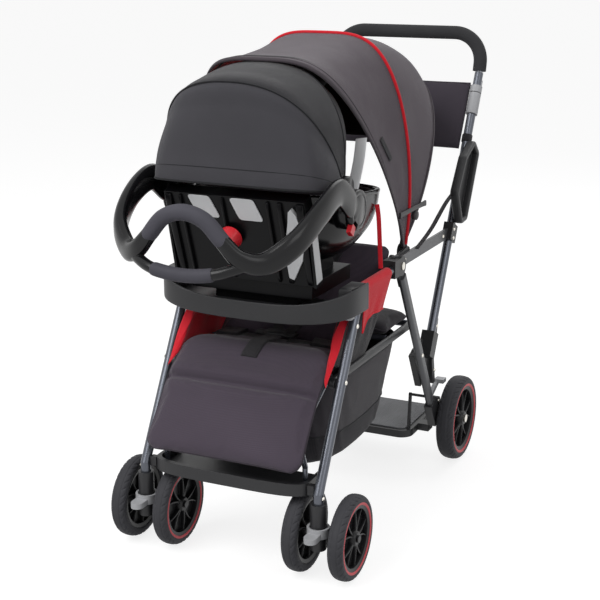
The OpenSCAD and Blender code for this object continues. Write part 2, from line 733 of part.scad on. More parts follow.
module rear_leg(s) color(gunmetal) side(s) difference() {
    union() {
        oval(rear_leg_x, rear_leg_at(rear_leg_start), rear_leg_at(rear_leg_end), rear_leg_w, rear_leg_t);
        bar(lug_x, link_t, [0, hub_z], rear_leg_at(rear_leg_start + 20), rear_leg_w - 4);
        rod_x(2 * hub_r - 2, lug_x, lug_x + link_t, 0, hub_z);
    }
    rod_x(hub_pin_d + 2 * run_gap, lug_x - 1, lug_x + link_t + 1, 0, hub_z);
}

housing_x = rear_leg_x - housing_w / 2;
sleeve_w = rear_leg_w + 10;
sleeve_len = 72;
sleeve_end = 10;
brake_pivot = [276, 170];
brake_pin_d = 8;

module axle_housings() color(black) both_sides() difference() {
    translate([housing_x, 0, 0]) rotate([90, 0, 90]) linear_extrude(housing_w) {
        bar_shape(rear_leg_at(rear_leg_len - 14), [rear_axle_y, rear_r], 30);
        bar_shape(brake_pivot, rear_leg_at(rear_leg_len - 20), 22);
        translate(rear_leg_at(rear_leg_len + sleeve_end)) rotate(90 + rear_leg_rake)
            translate([0, -sleeve_w / 2]) square([sleeve_len, sleeve_w]);
    }
    oval(rear_leg_x, rear_leg_at(rear_leg_len - sleeve_len), rear_leg_at(rear_leg_end + seat_gap),
        rear_leg_w + 2 * run_gap, rear_leg_t + 2 * run_gap);
    rod_x(rear_axle_d + 2 * run_gap, housing_x - 2, housing_x + housing_w + 2, rear_axle_y, rear_r);
    rod_x(brake_pin_d + 2 * run_gap, housing_x - 2, housing_x + housing_w + 2, brake_pivot[0],
        brake_pivot[1]);
}

rear_outer = rear_wheel_x + rear_wheel_w + side_gap;
module rear_axles() color(light_grey) both_sides() {
    rod_x(rear_axle_d, housing_x - 4, rear_outer, rear_axle_y, rear_r);
    rod_x(rear_axle_d + 8, rear_outer - 0.01, rear_outer + axle_head_t, rear_axle_y, rear_r);
    rod_x(rear_axle_d + 8, housing_x - 4 - axle_head_t, housing_x - 4 + 0.01, rear_axle_y, rear_r);
}

module rear_wheel(s) color(tyre_grey) side(s) translate([rear_wheel_x, rear_axle_y, rear_r])
    wheel(rear_r, rear_wheel_w, rear_axle_d / 2 + run_gap, 5);

module brake_lever(s) color(light_grey) side(s) {
    x0 = housing_x - 12;
    tip = [brake_pivot[0] + 66, brake_pivot[1] + 30];
    rod_x(brake_pin_d, x0, housing_x + housing_w - 1, brake_pivot[0], brake_pivot[1]);
    bar(x0, 9, brake_pivot, tip, 14);
    translate([x0, tip[0] - 12, tip[1] - 4]) cube([24, 24, 10]);
}

platform_front = 190;
platform_rear = 405;
platform_t = 18;
tread_t = 3;
module rounded_rect(w, y0, y1, r) translate([0, y0]) {
    translate([-w + r, 0]) square([2 * w - 2 * r, y1 - y0]);
    translate([-w, r]) square([2 * w, y1 - y0 - 2 * r]);
    for (x = [-w + r, w - r], y = [r, y1 - y0 - r]) translate([x, y]) circle(r = r);
}

strut_top = [platform_front + 32, 196];
strut_pin_d = 7;
strut_t = 6;
strut_x = platform_w - 12;
module platform() color(black) {
    top = platform_z - tread_t;
    low = top - platform_t;
    translate([0, 0, low]) linear_extrude(platform_t)
        rounded_rect(platform_w, platform_front, platform_rear, 32);
    both_sides() {
        translate([platform_w - 2, rear_leg_at(rear_leg_len)[0] - 8, low])
            cube([housing_x - platform_w + 2 - seat_gap, 32, platform_t]);
        bar(strut_x, strut_t, [platform_front + 24, top - platform_t / 2], strut_top, 9);
        rod_x(strut_pin_d, strut_x + strut_t / 2, rear_leg_x - rear_leg_t / 2 - seat_gap, strut_top[0],
            strut_top[1]);
    }
}

module platform_tread() color(light_grey) translate([0, 0, platform_z - tread_t + seat_gap / 3])
    linear_extrude(tread_t) rounded_rect(platform_w - 12, platform_front + 12, platform_rear - 12, 24);

// Infant carrier

carrier_head_y = -345;
carrier_foot_y = 44;
shell_shares = [0.5, 0.72, 0.9, 0.97, 1];
shell_depths = [0, 0.06, 0.3, 0.6, 1];
shell_low_z = 628;
function shell_ring(k, inset, lift) =
    let (c = lerp(carrier_head_y, carrier_foot_y, 0.5), a = (carrier_foot_y - carrier_head_y) / 2,
         w = carrier_hood_w - 6)
    [for (i = [0:31])
        let (t = 11.25 * i, x = (w * shell_shares[k] - inset) * spow(cos(t), 0.7),
             y = (a * shell_shares[k] - inset) * spow(sin(t), 0.7),
             low = shell_low_z + 0.0007 * pow(y + 30, 2) + max(0, y) * 0.22, rim = 768 - 0.1 * y)
        [x, c + y, lerp(low, rim, shell_depths[k]) + lift]];
shell_wall = 9;
hub_start_x = 175;
function bucket(outer, inner) = [for (k = [0:4]) shell_ring(k, outer, k < 2 ? outer : 0),
    for (k = [4:-1:0]) shell_ring(k, inner, k < 2 ? inner : 0)];
module carrier_shell() color(black) {
    pin_foot = hub_start_x + 12;
    loft(bucket(0, shell_wall));
    both_sides() {
        difference() {
            rod_x(2 * carry_disc_r, hub_start_x, carry_x - side_gap, carry_y, carry_z);
            rod_x(carry_pin_d + 2 * run_gap, pin_foot - seat_gap, carry_x, carry_y, carry_z);
        }
        rod_x(carry_pin_d, pin_foot, carry_x + carry_disc_t, carry_y, carry_z);
        rod_x(2 * (carrier_base_h - seat_gap), carrier_hood_w - 16, carrier_hood_w + 7, carrier_pivot[0],
            carrier_pivot[1]);
    }
}

liner_gap = 1.5;
liner_t = 14;
module carrier_liner() color(plum) loft(bucket(shell_wall + liner_gap, shell_wall + liner_gap + liner_t));

panel_foot = [-338, carrier_base_top];
panel_head = [-402, 790];
module carrier_base() color(black) {
    front = -322;
    rear = -120;
    foot_front = front + 22;
    translate([-96, foot_front, carrier_floor]) cube([192, rear - foot_front, carrier_foot_h + 1]);
    translate([-140, front, carrier_floor + carrier_foot_h])
        cube([280, rear - front, carrier_base_top - carrier_floor - carrier_foot_h]);
    for (x = [-94, 94]) translate([x - 16, -215, carrier_base_top - 1])
        cube([32, 70, shell_low_z - seat_gap - carrier_base_top + 1]);
    plate(-158, 316, [[-318, carrier_base_top], panel_foot, panel_head, [-372, 802], [-352, 762],
        [-345, 690]]);
}

carrier_pivot = [-276, 803];
carrier_power = 2.4;
carrier_base_h = 24;
carrier_crown_r = 245;
crown_in = 5;
// The hem, the front face and the crown of the carrier's hood: angle, radius, pulled in by, power
carrier_bows = [
    [85, 142, 0, 5.5], [65, 159, 1, 4.6], [52, 186, 2, 3.6], [41, 224, 4, 2.8],
    [33, 260, crown_in, carrier_power],
    [19, 248, crown_in, carrier_power], [7, carrier_crown_r - 1, crown_in, carrier_power],
    [-5, carrier_crown_r, crown_in, carrier_power]
];
module carrier_hood() color(charcoal) hood(carrier_pivot[0], carrier_pivot[1], carrier_base_h,
    [for (b = carrier_bows) [b[0], b[1], carrier_hood_w - b[2], b[3]]]);

module carrier_visor() color(charcoal) hood(carrier_pivot[0], carrier_pivot[1], carrier_base_h,
    [for (k = [0:4]) let (a = lerp(-3, -22, k / 4))
        [a, carrier_crown_r - visor_in - 1 - k, carrier_hood_w - crown_in - visor_in - 1, carrier_power]]);

// Right half of the carry handle's upper and lower grips, from the arm to the middle
arm_bend = [-360, 808];
arm_start = [carry_y, carry_z] + (carry_disc_r + seat_gap) * unit(arm_bend - [carry_y, carry_z]);
arm_route = [
    [214, arm_start[0], arm_start[1]], [214, arm_bend[0], arm_bend[1]], [212, -440, 783], [194, -512, 738],
    [150, -556, 702], [112, -584, 712], [80, -592, 744], [44, -596, 782], [0, -597, 795]
];
arm_sizes = [[19, 52], [21, 44], [25, 37], [28, 36], [29, 36], [29, 32], [28, 28], [28, 28], [28, 28]];
lower_route = [[104, -592, 692], [72, -604, 684], [36, -607, 678], [0, -608, 676]];
lower_d = carry_d - 4;
function mirrored(pts) = concat(pts, [for (i = [len(pts) - 2:-1:0]) [-pts[i][0], pts[i][1], pts[i][2]]]);
function there_and_back(v) = concat(v, [for (i = [len(v) - 2:-1:0]) v[i]]);

// Places its children on a disc of the carry handle: their +Y runs from its centre to the button
module at_button() translate([carry_x, carry_y, carry_z]) rotate([button_angle, 0, 0]) children();

module carry_handle() color(black) {
    sizes = curve(there_and_back(arm_sizes), 4);
    sweep(curve(mirrored(arm_route), 4), [for (s = sizes) s[0]], [for (s = sizes) s[1]], 12);
    sweep(curve(mirrored(lower_route), 3), lower_d, lower_d, 10);
    both_sides() difference() {
        rod_x(2 * carry_disc_r, carry_x, carry_x + carry_disc_t, carry_y, carry_z);
        rod_x(carry_pin_d + 2 * run_gap, carry_x - 1, carry_x + carry_disc_t + 1, carry_y, carry_z);
        at_button() translate([button_x, button_low - button_travel - 1, -button_w / 2 - seat_gap])
            cube([button_t, carry_disc_r, button_w + 2 * seat_gap]);
    }
}

module carry_button(s) color(red) side(s) at_button()
    translate([button_x + seat_gap, button_low, -button_w / 2])
        cube([button_t - 2 * seat_gap, button_len, button_w]);

knob_z = 706;
panel_lean = atan2(panel_foot[0] - panel_head[0], panel_head[1] - panel_foot[1]);
module base_knob() color(red)
    translate([-14, panel_foot[0] - (knob_z - panel_foot[1]) * tan(panel_lean), knob_z])
        rotate([90 + panel_lean, 0, 0]) {
            translate([0, 0, seat_gap]) cylinder(d = 16, h = 12);
            translate([0, 0, 10]) cylinder(d1 = 50, d2 = 34, h = 20);
        }

front_legs();
caster_sockets();
footrest();
calf_frame();
lower_rails();
cross_tubes();
armrests();
hub_housings();
hub_pins();
tray();
tray_tab(1);  // tray_tab_r
tray_tab(-1);  // tray_tab_l
seat_cushion();
calf_pad();
backrest();
side_panels();
basket();
rear_bench();
hood_rear();
hood_rear_bow();
hood_front();
hood_front_bow();
handle_tubes();
handle_bow();
foam_grip();
fold_collars();
fold_lever(1);  // fold_lever_r
fold_lever(-1);  // fold_lever_l
upper_links();
link_clamps();
hand_holds();
lower_brackets();
organiser();
rear_leg(1);  // rear_leg_r
rear_leg(-1);  // rear_leg_l
axle_housings();
rear_axles();
platform();
platform_tread();
brake_lever(1);  // brake_lever_r
brake_lever(-1);  // brake_lever_l
rear_wheel(1);  // rear_wheel_r
rear_wheel(-1);  // rear_wheel_l
caster_fork(1);  // caster_fork_r
caster_fork(-1);  // caster_fork_l
swivel_lock(1);  // swivel_lock_r
swivel_lock(-1);  // swivel_lock_l
front_wheel(1, 1);  // front_wheel_ro
front_wheel(1, -1);  // front_wheel_ri
front_wheel(-1, 1);  // front_wheel_lo
front_wheel(-1, -1);  // front_wheel_li
carrier_shell();
carrier_base();
carrier_liner();
carrier_hood();
carrier_visor();
carry_handle();
carry_button(1);  // carry_button_r
carry_button(-1);  // carry_button_l
base_knob();
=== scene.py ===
"""A sit-and-stand tandem stroller with a docked infant carrier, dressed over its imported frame.

Lengths in the classes are millimetres in the frame's own axes: +Z up, front towards -Y.
"""

import logging
import math
from dataclasses import dataclass, replace
from enum import Enum
from typing import Iterable, Optional, Sequence

import bmesh
import bpy
import numpy as np
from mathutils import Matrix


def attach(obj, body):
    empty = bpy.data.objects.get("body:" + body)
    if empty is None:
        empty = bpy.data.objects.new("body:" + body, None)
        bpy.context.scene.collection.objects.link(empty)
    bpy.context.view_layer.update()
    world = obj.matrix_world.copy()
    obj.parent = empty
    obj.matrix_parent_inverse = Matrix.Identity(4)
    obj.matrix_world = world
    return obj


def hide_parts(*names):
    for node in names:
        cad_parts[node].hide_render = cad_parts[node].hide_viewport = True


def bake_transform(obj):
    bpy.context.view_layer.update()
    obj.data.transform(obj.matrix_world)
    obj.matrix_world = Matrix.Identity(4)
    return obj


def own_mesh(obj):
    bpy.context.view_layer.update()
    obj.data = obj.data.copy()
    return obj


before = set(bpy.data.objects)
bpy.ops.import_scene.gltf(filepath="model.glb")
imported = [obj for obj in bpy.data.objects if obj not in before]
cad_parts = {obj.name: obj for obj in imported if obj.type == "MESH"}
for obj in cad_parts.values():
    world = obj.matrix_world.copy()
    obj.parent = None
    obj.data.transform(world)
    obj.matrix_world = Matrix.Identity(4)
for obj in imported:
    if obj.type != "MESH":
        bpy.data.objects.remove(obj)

Array = np.ndarray
MM = 0.001
LOG = logging.getLogger("stroller")
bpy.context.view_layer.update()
WAYS = (-1.0, 1.0)
SIDES = (("r", 1.0), ("l", -1.0))
HOOD_PIVOT = (100.0, 590.0)
CARRIER_HUB = (-265.0, 757.0)
CARRIER_PIVOT = (-276.0, 803.0)
STUFFING_FRAMES = 20
PAD_STATIONS = 161
PAD_REACH = 0.985


def linear(code: str) -> tuple[float, float, float, float]:
    """Turns a six-digit sRGB colour code into a linear colour with full alpha."""
    parts = np.array([int(code[k:k + 2], 16) for k in (0, 2, 4)]) / 255.0
    low = parts / 12.92
    high = ((parts + 0.055) / 1.055) ** 2.4
    red, green, blue = np.where(parts <= 0.04045, low, high).tolist()
    return red, green, blue, 1.0


def spow(value: Array, power: float) -> Array:
    """Power of a value's size with its sign kept."""
    return np.sign(value) * np.abs(value) ** power


def lump(u: Array, power: float) -> Array:
    """One in the middle of -1 to 1 and zero at both ends: the root of one minus the size of u to a power."""
    return np.sqrt(np.maximum(0.0, 1.0 - np.abs(u) ** power))


def smooth_route(points: Sequence[Sequence[float]], steps: int) -> Array:
    """Runs a Catmull-Rom curve through points.

    Args:
        points: The points that the curve passes through.
        steps: Number of lengths between two points.
    Returns:
        The curve's points, one row each.
    """
    p = np.asarray(points, float)
    last = len(p) - 1
    t = np.linspace(0, last, last * steps + 1)
    k = np.minimum(t.astype(int), last - 1)
    f = (t - k)[:, None]
    a, b, c, d = p[np.maximum(k - 1, 0)], p[k], p[k + 1], p[np.minimum(k + 2, last)]
    square = (2 * a - 5 * b + 4 * c - d) * f ** 2
    return 0.5 * (2 * b + (c - a) * f + square + (3 * b - a - 3 * c + d) * f ** 3)


def oval(wide: float, high: float, count: int, power: float = 2.0) -> Array:
    """Closed superellipse section: half sizes times the signed powers of cosine and sine."""
    t = 2 * np.pi * np.arange(count) / count
    return np.stack([wide / 2 * spow(np.cos(t), 2 / power), high / 2 * spow(np.sin(t), 2 / power)], 1)


def sweep(path: Array, section: Array, up: Sequence[float], scale: Optional[Array] = None) -> Array:
    """Carries a section along a path.

    Each point is the path's point plus the section's two offsets along the path's side, which is the
    tangent crossed with up, and along the side crossed with the tangent.

    Args:
        path: Points of the path.
        section: Points of the section, across and high.
        up: A direction that is nowhere along the path, or one direction for each point.
        scale: Factors of both offsets for each point of the path.
    Returns:
        Grid of points, path by section.
    """
    tangent = np.gradient(path, axis=0)
    tangent /= np.linalg.norm(tangent, axis=1, keepdims=True)
    across = np.cross(tangent, np.asarray(up, float))
    across /= np.linalg.norm(across, axis=1, keepdims=True)
    rise = np.cross(across, tangent)
    offsets = section[None] * (1.0 if scale is None else np.asarray(scale)[:, None, :])
    return path[:, None] + offsets[..., :1] * across[:, None] + offsets[..., 1:] * rise[:, None]


def loop_sweep(path: Array, section: Array, up: Sequence[float]) -> Array:
    """Carries a section round a closed path, as sweep does along an open one.

    Args:
        path: Points of the path, without the first one again at its end.
        section: Points of the section, across and high.
        up: A direction that is nowhere along the path, or one direction for each point.
    Returns:
        Grid of points, path by section.
    """
    around = np.concatenate([path[-1:], path, path[:1]])
    rise = np.asarray(up, float)
    if rise.ndim == 2:
        rise = np.concatenate([rise[-1:], rise, rise[:1]])
    return sweep(around, section, rise)[1:-1]


def mirrored(points: Sequence[Sequence[float]]) -> Array:
    """A right half's points followed by their mirror image, without the middle twice."""
    half = np.asarray(points, float)
    return np.concatenate([half, half[-2::-1] * np.array([-1.0, 1.0, 1.0])])


def spin(profile: Sequence[Sequence[float]], centre: Sequence[float], count: int, way: float = 1.0) -> Array:
    """Turns a profile of [radius, place along X] about an axis along X through a centre.

    Args:
        profile: Radius and place of each point of the profile.
        centre: Point of the axis that the places count from.
        count: Number of places round the axis.
        way: 1 to count places towards +X and -1 towards -X.
    Returns:
        Grid of points, round by profile.
    """
    p = np.asarray(profile, float)
    t = 2 * np.pi * np.arange(count)[:, None] / count
    x = np.broadcast_to(way * p[:, 1], (count, len(p)))
    return np.asarray(centre, float) + np.stack([x, p[:, 0] * np.cos(t), p[:, 0] * np.sin(t)], -1)


class Surface:
    """Grids of points that become one mesh, with UVs in metres and a finish number for each face."""

    def __init__(self) -> None:
        """Starts with nothing in it."""
        self.points: list[Array] = []
        self.faces: list[list[int]] = []
        self.uvs: list[Array] = []
        self.slots: list[int] = []
        self.count = 0

    def grid(self, points: Array, wrap_u: bool = False, wrap_v: bool = False, caps: bool = False,
             slot: int = 0, centre: Optional[Sequence[float]] = None) -> "Surface":
        """Adds a grid of quads.

        Args:
            points: Points, rows by columns, in millimetres.
            wrap_u: Joins the last row to the first.
            wrap_v: Joins the last column to the first.
            caps: Closes the first and the last row with one face each.
            slot: Number of the finish.
            centre: A point that the faces look away from.
        Returns:
            This surface.
        """
        m, n = points.shape[:2]
        rows, columns = np.arange(m if wrap_u else m - 1), np.arange(n if wrap_v else n - 1)
        i, j = np.meshgrid(rows, columns, indexing="ij")
        i2, j2 = (i + 1) % m, (j + 1) % n
        quads = np.stack([i * n + j, i * n + j2, i2 * n + j2, i2 * n + j], -1).reshape(-1, 4)
        flat = points.reshape(-1, 3)
        u = self._lengths(points[:, n // 2], wrap_u)
        v = self._lengths(points[m // 2], wrap_v)
        corner_u = np.stack([u[i], u[i], u[i + 1], u[i + 1]], -1).reshape(-1, 4)
        corner_v = np.stack([v[j], v[j + 1], v[j + 1], v[j]], -1).reshape(-1, 4)
        uv = np.stack([corner_u, corner_v], -1) * MM
        if centre is not None and self._inward(flat, quads, np.asarray(centre, float)):
            quads, uv = quads[:, ::-1], uv[:, ::-1]
        self.points.append(flat)
        self.faces += (quads + self.count).tolist()
        self.uvs.append(uv.reshape(-1, 2))
        self.slots += [slot] * len(quads)
        if caps:
            first = self.count + np.arange(n)
            for ring in (first[::-1], first + (m - 1) * n):
                self.faces.append(ring.tolist())
                self.uvs.append(flat[ring - self.count][:, :2] * MM)
                self.slots.append(slot)
        self.count += len(flat)
        return self

    def bar(self, points: Array) -> "Surface":
        """Adds a closed section carried along a path, with both ends closed."""
        return self.grid(points, wrap_v=True, caps=True)

    def ring(self, points: Array) -> "Surface":
        """Adds a closed section carried round a closed path."""
        return self.grid(points, wrap_u=True, wrap_v=True)

    @staticmethod
    def _lengths(line: Array, wrap: bool) -> Array:
        """Length along a line of points, up to each of them, with the closing length last."""
        closed = np.concatenate([line, line[:1]]) if wrap else line
        steps = np.linalg.norm(np.diff(closed, axis=0), axis=1)
        return np.concatenate([[0.0], np.cumsum(steps)])

    @staticmethod
    def _inward(points: Array, quads: Array, centre: Array) -> bool:
        """Says whether most of the faces look towards a centre."""
        a, b, c, d = (points[quads[:, k]] for k in range(4))
        normal = np.cross(c - a, d - b)
        return float(np.sum(normal * ((a + b + c + d) / 4 - centre))) < 0

    def build(self, name: str, finishes: Sequence["Finish"], outward: bool = False,
              sharp: float = 50.0) -> bpy.types.Object:
        """Makes the mesh object.

        Args:
            name: Name of the piece.
            finishes: Finishes in the order of their numbers.
            outward: Turns the faces of closed forms outwards.
            sharp: Angle in degrees from which an edge stays sharp.
        Returns:
            The object, at the origin, linked to the scene.
        """
        mesh = bpy.data.meshes.new(name)
        mesh.from_pydata((np.concatenate(self.points) * MM).tolist(), [], self.faces)
        layer = mesh.uv_layers.new(name="cloth")
        layer.uv.foreach_set("vector", np.concatenate(self.uvs).astype(np.float32).ravel())
        mesh.polygons.foreach_set("material_index", np.array(self.slots, np.int32))
        work = bmesh.new()
        work.from_mesh(mesh)
        bmesh.ops.remove_doubles(work, verts=work.verts, dist=2e-6)
        if outward:
            bmesh.ops.recalc_face_normals(work, faces=work.faces)
        work.to_mesh(mesh)
        work.free()
        mesh.shade_smooth()
        mesh.set_sharp_from_angle(angle=math.radians(sharp))
        for finish in finishes:
            mesh.materials.append(finish.material())
        piece = bpy.data.objects.new(name, mesh)
        bpy.context.scene.collection.objects.link(piece)
        return piece


def solidify(piece: bpy.types.Object, thick: float, inner: int = 0) -> None:
    """Gives a sheet its thickness on the inner side.

    Args:
        piece: The sheet.
        thick: Thickness in millimetres.
        inner: How many finishes further on the inner side's finish is.
    """
    wall = piece.modifiers.new("wall", "SOLIDIFY")
    wall.thickness = thick * MM
    wall.offset = -1.0
    wall.material_offset = inner


def subdivide(piece: bpy.types.Object, levels: int = 1) -> None:
    """Rounds a piece with a subdivision surface, at the same level in view and render."""
    smooth = piece.modifiers.new("smooth", "SUBSURF")
    smooth.levels = levels
    smooth.render_levels = levels


class Grain(Enum):
    """How a moulded, painted or foamed surface is textured."""

    SATIN = "satin"
    GLOSS = "gloss"
    CELLS = "cells"
    BRUSHED = "brushed"
    TREAD = "tread"


class Shader:
    """A material's node tree with short calls for the nodes that the finishes use."""

    def __init__(self, name: str) -> None:
        """Makes the material with a principled shader wired to its output."""
        self.material = bpy.data.materials.new(name)
        self.material.use_nodes = True
        self.tree = self.material.node_tree
        self.tree.nodes.clear()
        self.base = self.tree.nodes.new("ShaderNodeBsdfPrincipled")
        out = self.tree.nodes.new("ShaderNodeOutputMaterial")
        self.join(self.base.outputs["BSDF"], out.inputs["Surface"])

    def join(self, source: bpy.types.NodeSocket, target: bpy.types.NodeSocket) -> None:
        """Links one socket to another."""
        self.tree.links.new(source, target)

    def add(self, kind: str, inputs: Optional[dict] = None, **settings: object) -> bpy.types.Node:
        """Adds a node, sets its properties, and sets or links its inputs.

        Args:
            kind: The node's type without its prefix.
            inputs: Values or sockets by the input's name or number.
            settings: Properties of the node.
        Returns:
            The node.
        """
        node = self.tree.nodes.new("ShaderNode" + kind)
        for key, value in settings.items():
            setattr(node, key, value)
        for key, value in (inputs or {}).items():
            if isinstance(value, bpy.types.NodeSocket):
                self.join(value, node.inputs[key])
            else:
                node.inputs[key].default_value = value
        return node

    def coords(self, kind: str, scale: Sequence[float] = (1, 1, 1)) -> bpy.types.NodeSocket:
        """Object or UV coordinates times a scale."""
        place = self.add("TexCoord").outputs[kind]
        return self.add("Mapping", {"Vector": place, "Scale": tuple(scale)}).outputs[0]

    def noise(self, vector: bpy.types.NodeSocket, scale: float, detail: float = 3.0) -> bpy.types.NodeSocket:
        """Noise from 0 to 1."""
        return self.add("TexNoise", {"Vector": vector, "Scale": scale, "Detail": detail}).outputs[0]

    def wave(self, vector: bpy.types.NodeSocket, period: float, way: str) -> bpy.types.NodeSocket:
        """Sine bands of a period in metres along X or Y of the coordinates."""
        node = self.add("TexWave", {"Vector": vector, "Scale": math.pi / 10 / period, "Distortion": 0.6,
                                    "Detail": 1.0, "Detail Scale": 0.3}, bands_direction=way)
        return node.outputs["Fac"]

    def spread(self, value: bpy.types.NodeSocket, low: float, high: float, start: float = 0.0,
               stop: float = 1.0) -> bpy.types.NodeSocket:
        """Maps a value from start and stop to low and high."""
        node = self.add("MapRange", {0: value, 1: start, 2: stop, 3: low, 4: high})
        return node.outputs[0]

    def maths(self, what: str, a: object, b: object) -> bpy.types.NodeSocket:
        """Result of a sum, product or other operation on two values."""
        return self.add("Math", {0: a, 1: b}, operation=what).outputs[0]

    def blend(self, share: bpy.types.NodeSocket, a: object, b: object) -> bpy.types.NodeSocket:
        """Mixes two colours."""
        node = self.add("Mix", {0: share, 6: a, 7: b}, data_type="RGBA")
        return node.outputs[2]

    def bump(self, height: bpy.types.NodeSocket, strength: float, depth: float,
             normal: Optional[bpy.types.NodeSocket] = None) -> bpy.types.NodeSocket:
        """Normal that follows a height of up to a depth in metres."""
        inputs = {"Height": height, "Strength": strength, "Distance": depth}
        if normal is not None:
            inputs["Normal"] = normal
        return self.add("Bump", inputs).outputs[0]

    def sets(self, **values: object) -> None:
        """Sets or links the principled shader's inputs, with _ for a space in their names."""
        for key, value in values.items():
            target = self.base.inputs[key.replace("_", " ")]
            if isinstance(value, bpy.types.NodeSocket):
                self.join(value, target)
            else:
                target.default_value = value


@dataclass(frozen=True)
class Finish:
    """A named finish with its colour as a six-digit code."""

    name: str
    colour: str

    def material(self) -> bpy.types.Material:
        """The finish's material, made when it is first asked for."""
        made = bpy.data.materials.get(self.name)
        return made if made else self.make()

    def make(self) -> bpy.types.Material:
        """Builds the material."""
        raise NotImplementedError

    def shades(self, shader: Shader, vector: bpy.types.NodeSocket, scale: float,
               spread: float) -> bpy.types.NodeSocket:
        """The colour with soft lighter and darker patches."""
        tone = np.array(linear(self.colour))
        dark, light = tone * (1 - spread), tone * (1 + spread)
        dark[3] = light[3] = 1.0
        share = shader.spread(shader.noise(vector, scale), 0, 1, 0.3, 0.7)
        return shader.blend(share, tuple(dark), tuple(light))


@dataclass(frozen=True)
class Moulded(Finish):
    """Plastic, paint, metal, rubber or foam, with softened and slightly worn edges."""

    rough: float = 0.5
    grain: Grain = Grain.SATIN
    metal: float = 0.0
    coat: float = 0.0
    edge: float = 1.5
    wear: float = 0.3
    gleam: float = 0.5

    def make(self) -> bpy.types.Material:
        """Patchy colour, edges rubbed lighter, uneven roughness, and a grain in the normal."""
        shader = Shader(self.name)
        place = shader.coords("Object")
        normal = shader.add("Bevel", {"Radius": self.edge * MM}, samples=4).outputs[0]
        colour = self.shades(shader, place, 9.0, 0.07)
        if self.wear:
            true_normal = shader.add("NewGeometry").outputs["True Normal"]
            turn = shader.add("VectorMath", {0: normal, 1: true_normal}, operation="DOT_PRODUCT")
            rub = shader.spread(turn.outputs["Value"], self.wear, 0.0, 0.78, 0.97)
            rub = shader.maths("MULTIPLY", rub, shader.spread(shader.noise(place, 60.0), 0, 1, 0.4, 0.6))
            tone = np.minimum(np.array(linear(self.colour)) * 2.2 + 0.02, 1.0)
            tone[3] = 1.0
            colour = shader.blend(rub, colour, tuple(tone))
        patches = shader.noise(place, 26.0)
        shader.sets(Base_Color=colour, Metallic=self.metal, Coat_Weight=self.coat, Coat_Roughness=0.12,
                    Specular_IOR_Level=self.gleam,
                    Roughness=shader.spread(patches, self.rough * 0.85, min(1.0, self.rough * 1.15)),
                    Normal=self.relief(shader, normal))
        return shader.material

    def relief(self, shader: Shader, normal: bpy.types.NodeSocket) -> bpy.types.NodeSocket:
        """The grain's normal over the softened edges."""
        if self.grain is Grain.GLOSS:
            height = shader.noise(shader.coords("Object"), 35.0)
            return shader.bump(height, 0.05, 0.002, normal)
        if self.grain is Grain.BRUSHED:
            height = shader.noise(shader.coords("Object", (900, 40, 40)), 1.0, 2.0)
            return shader.bump(height, 0.08, 0.0003, normal)
        if self.grain is Grain.CELLS:
            cells = shader.add("TexVoronoi", {"Vector": shader.coords("Object"), "Scale": 420.0})
            return shader.bump(cells.outputs["Distance"], 0.5, 0.0012, normal)
        if self.grain is Grain.TREAD:
            cells = shader.add("TexVoronoi", {"Vector": shader.coords("Object", (1, 1, 0.01)), "Scale": 130.0,
                                              "Randomness": 0.0})
            height = shader.spread(cells.outputs["Distance"], 1.0, 0.0, 0.25, 0.45)
            return shader.bump(height, 0.6, 0.001, normal)
        height = shader.noise(shader.coords("Object"), 700.0, 1.0)
        return shader.bump(height, 0.16, 0.0006, normal)


@dataclass(frozen=True)
class Woven(Finish):
    """Cloth or webbing: a plain weave on a sheet's UVs, or on object coordinates for a stuffed piece."""

    thread: float = 1.6
    sheen: float = 0.25
    rough: float = 0.85
    relief: float = 0.35
    on_uv: bool = True
    open_net: bool = False

    def make(self) -> bpy.types.Material:
        """Threads over and under in height, with painted shade in the gaps between them, slubs, soft creases
        and a sheen.
        """
        shader = Shader(self.name)
        place = shader.coords("Object")
        if self.on_uv:
            threads = shader.coords("UV")
        else:
            axes = shader.add("SeparateXYZ", {0: place})
            slope = shader.maths("ADD", shader.maths("MULTIPLY", axes.outputs[1], 0.62),
                                 shader.maths("MULTIPLY", axes.outputs[2], -0.78))
            threads = shader.add("CombineXYZ", {0: axes.outputs[0], 1: slope}).outputs[0]
        period = self.thread * MM
        warp = shader.wave(threads, period, "X")
        weft = shader.wave(threads, period, "Y")
        if self.open_net:
            strands = shader.maths("POWER", warp, 3.0), shader.maths("POWER", weft, 3.0)
            height = shader.maths("MAXIMUM", *strands)
        else:
            over = shader.add("TexChecker", {"Vector": threads, "Scale": 1 / period}).outputs["Fac"]
            under = shader.maths("SUBTRACT", 1.0, over)
            strands = shader.maths("MULTIPLY", warp, over), shader.maths("MULTIPLY", weft, under)
            height = shader.maths("ADD", *strands)
        colour = self.shades(shader, place, 5.0, 0.08)
        # Darker between the threads and in the net's holes: painted shade in the gaps.
        tone = np.array(linear(self.colour)) * (0.25 if self.open_net else 0.8)
        tone[3] = 1.0
        painted_gap_shade = shader.spread(height, 0.9 if self.open_net else 0.5, 0.0, 0.0, 0.7)
        colour = shader.blend(painted_gap_shade, colour, tuple(tone))
        creases = shader.noise(shader.coords("Object", (1, 1, 0.6)), 16.0, 2.0)
        soft = shader.bump(creases, 0.35, 0.006)
        shader.sets(Base_Color=colour, Roughness=shader.spread(height, self.rough, self.rough * 0.9),
                    Sheen_Weight=self.sheen, Sheen_Roughness=0.45, Specular_IOR_Level=0.25,
                    Normal=shader.bump(height, self.relief, 0.0006, soft))
        return shader.material


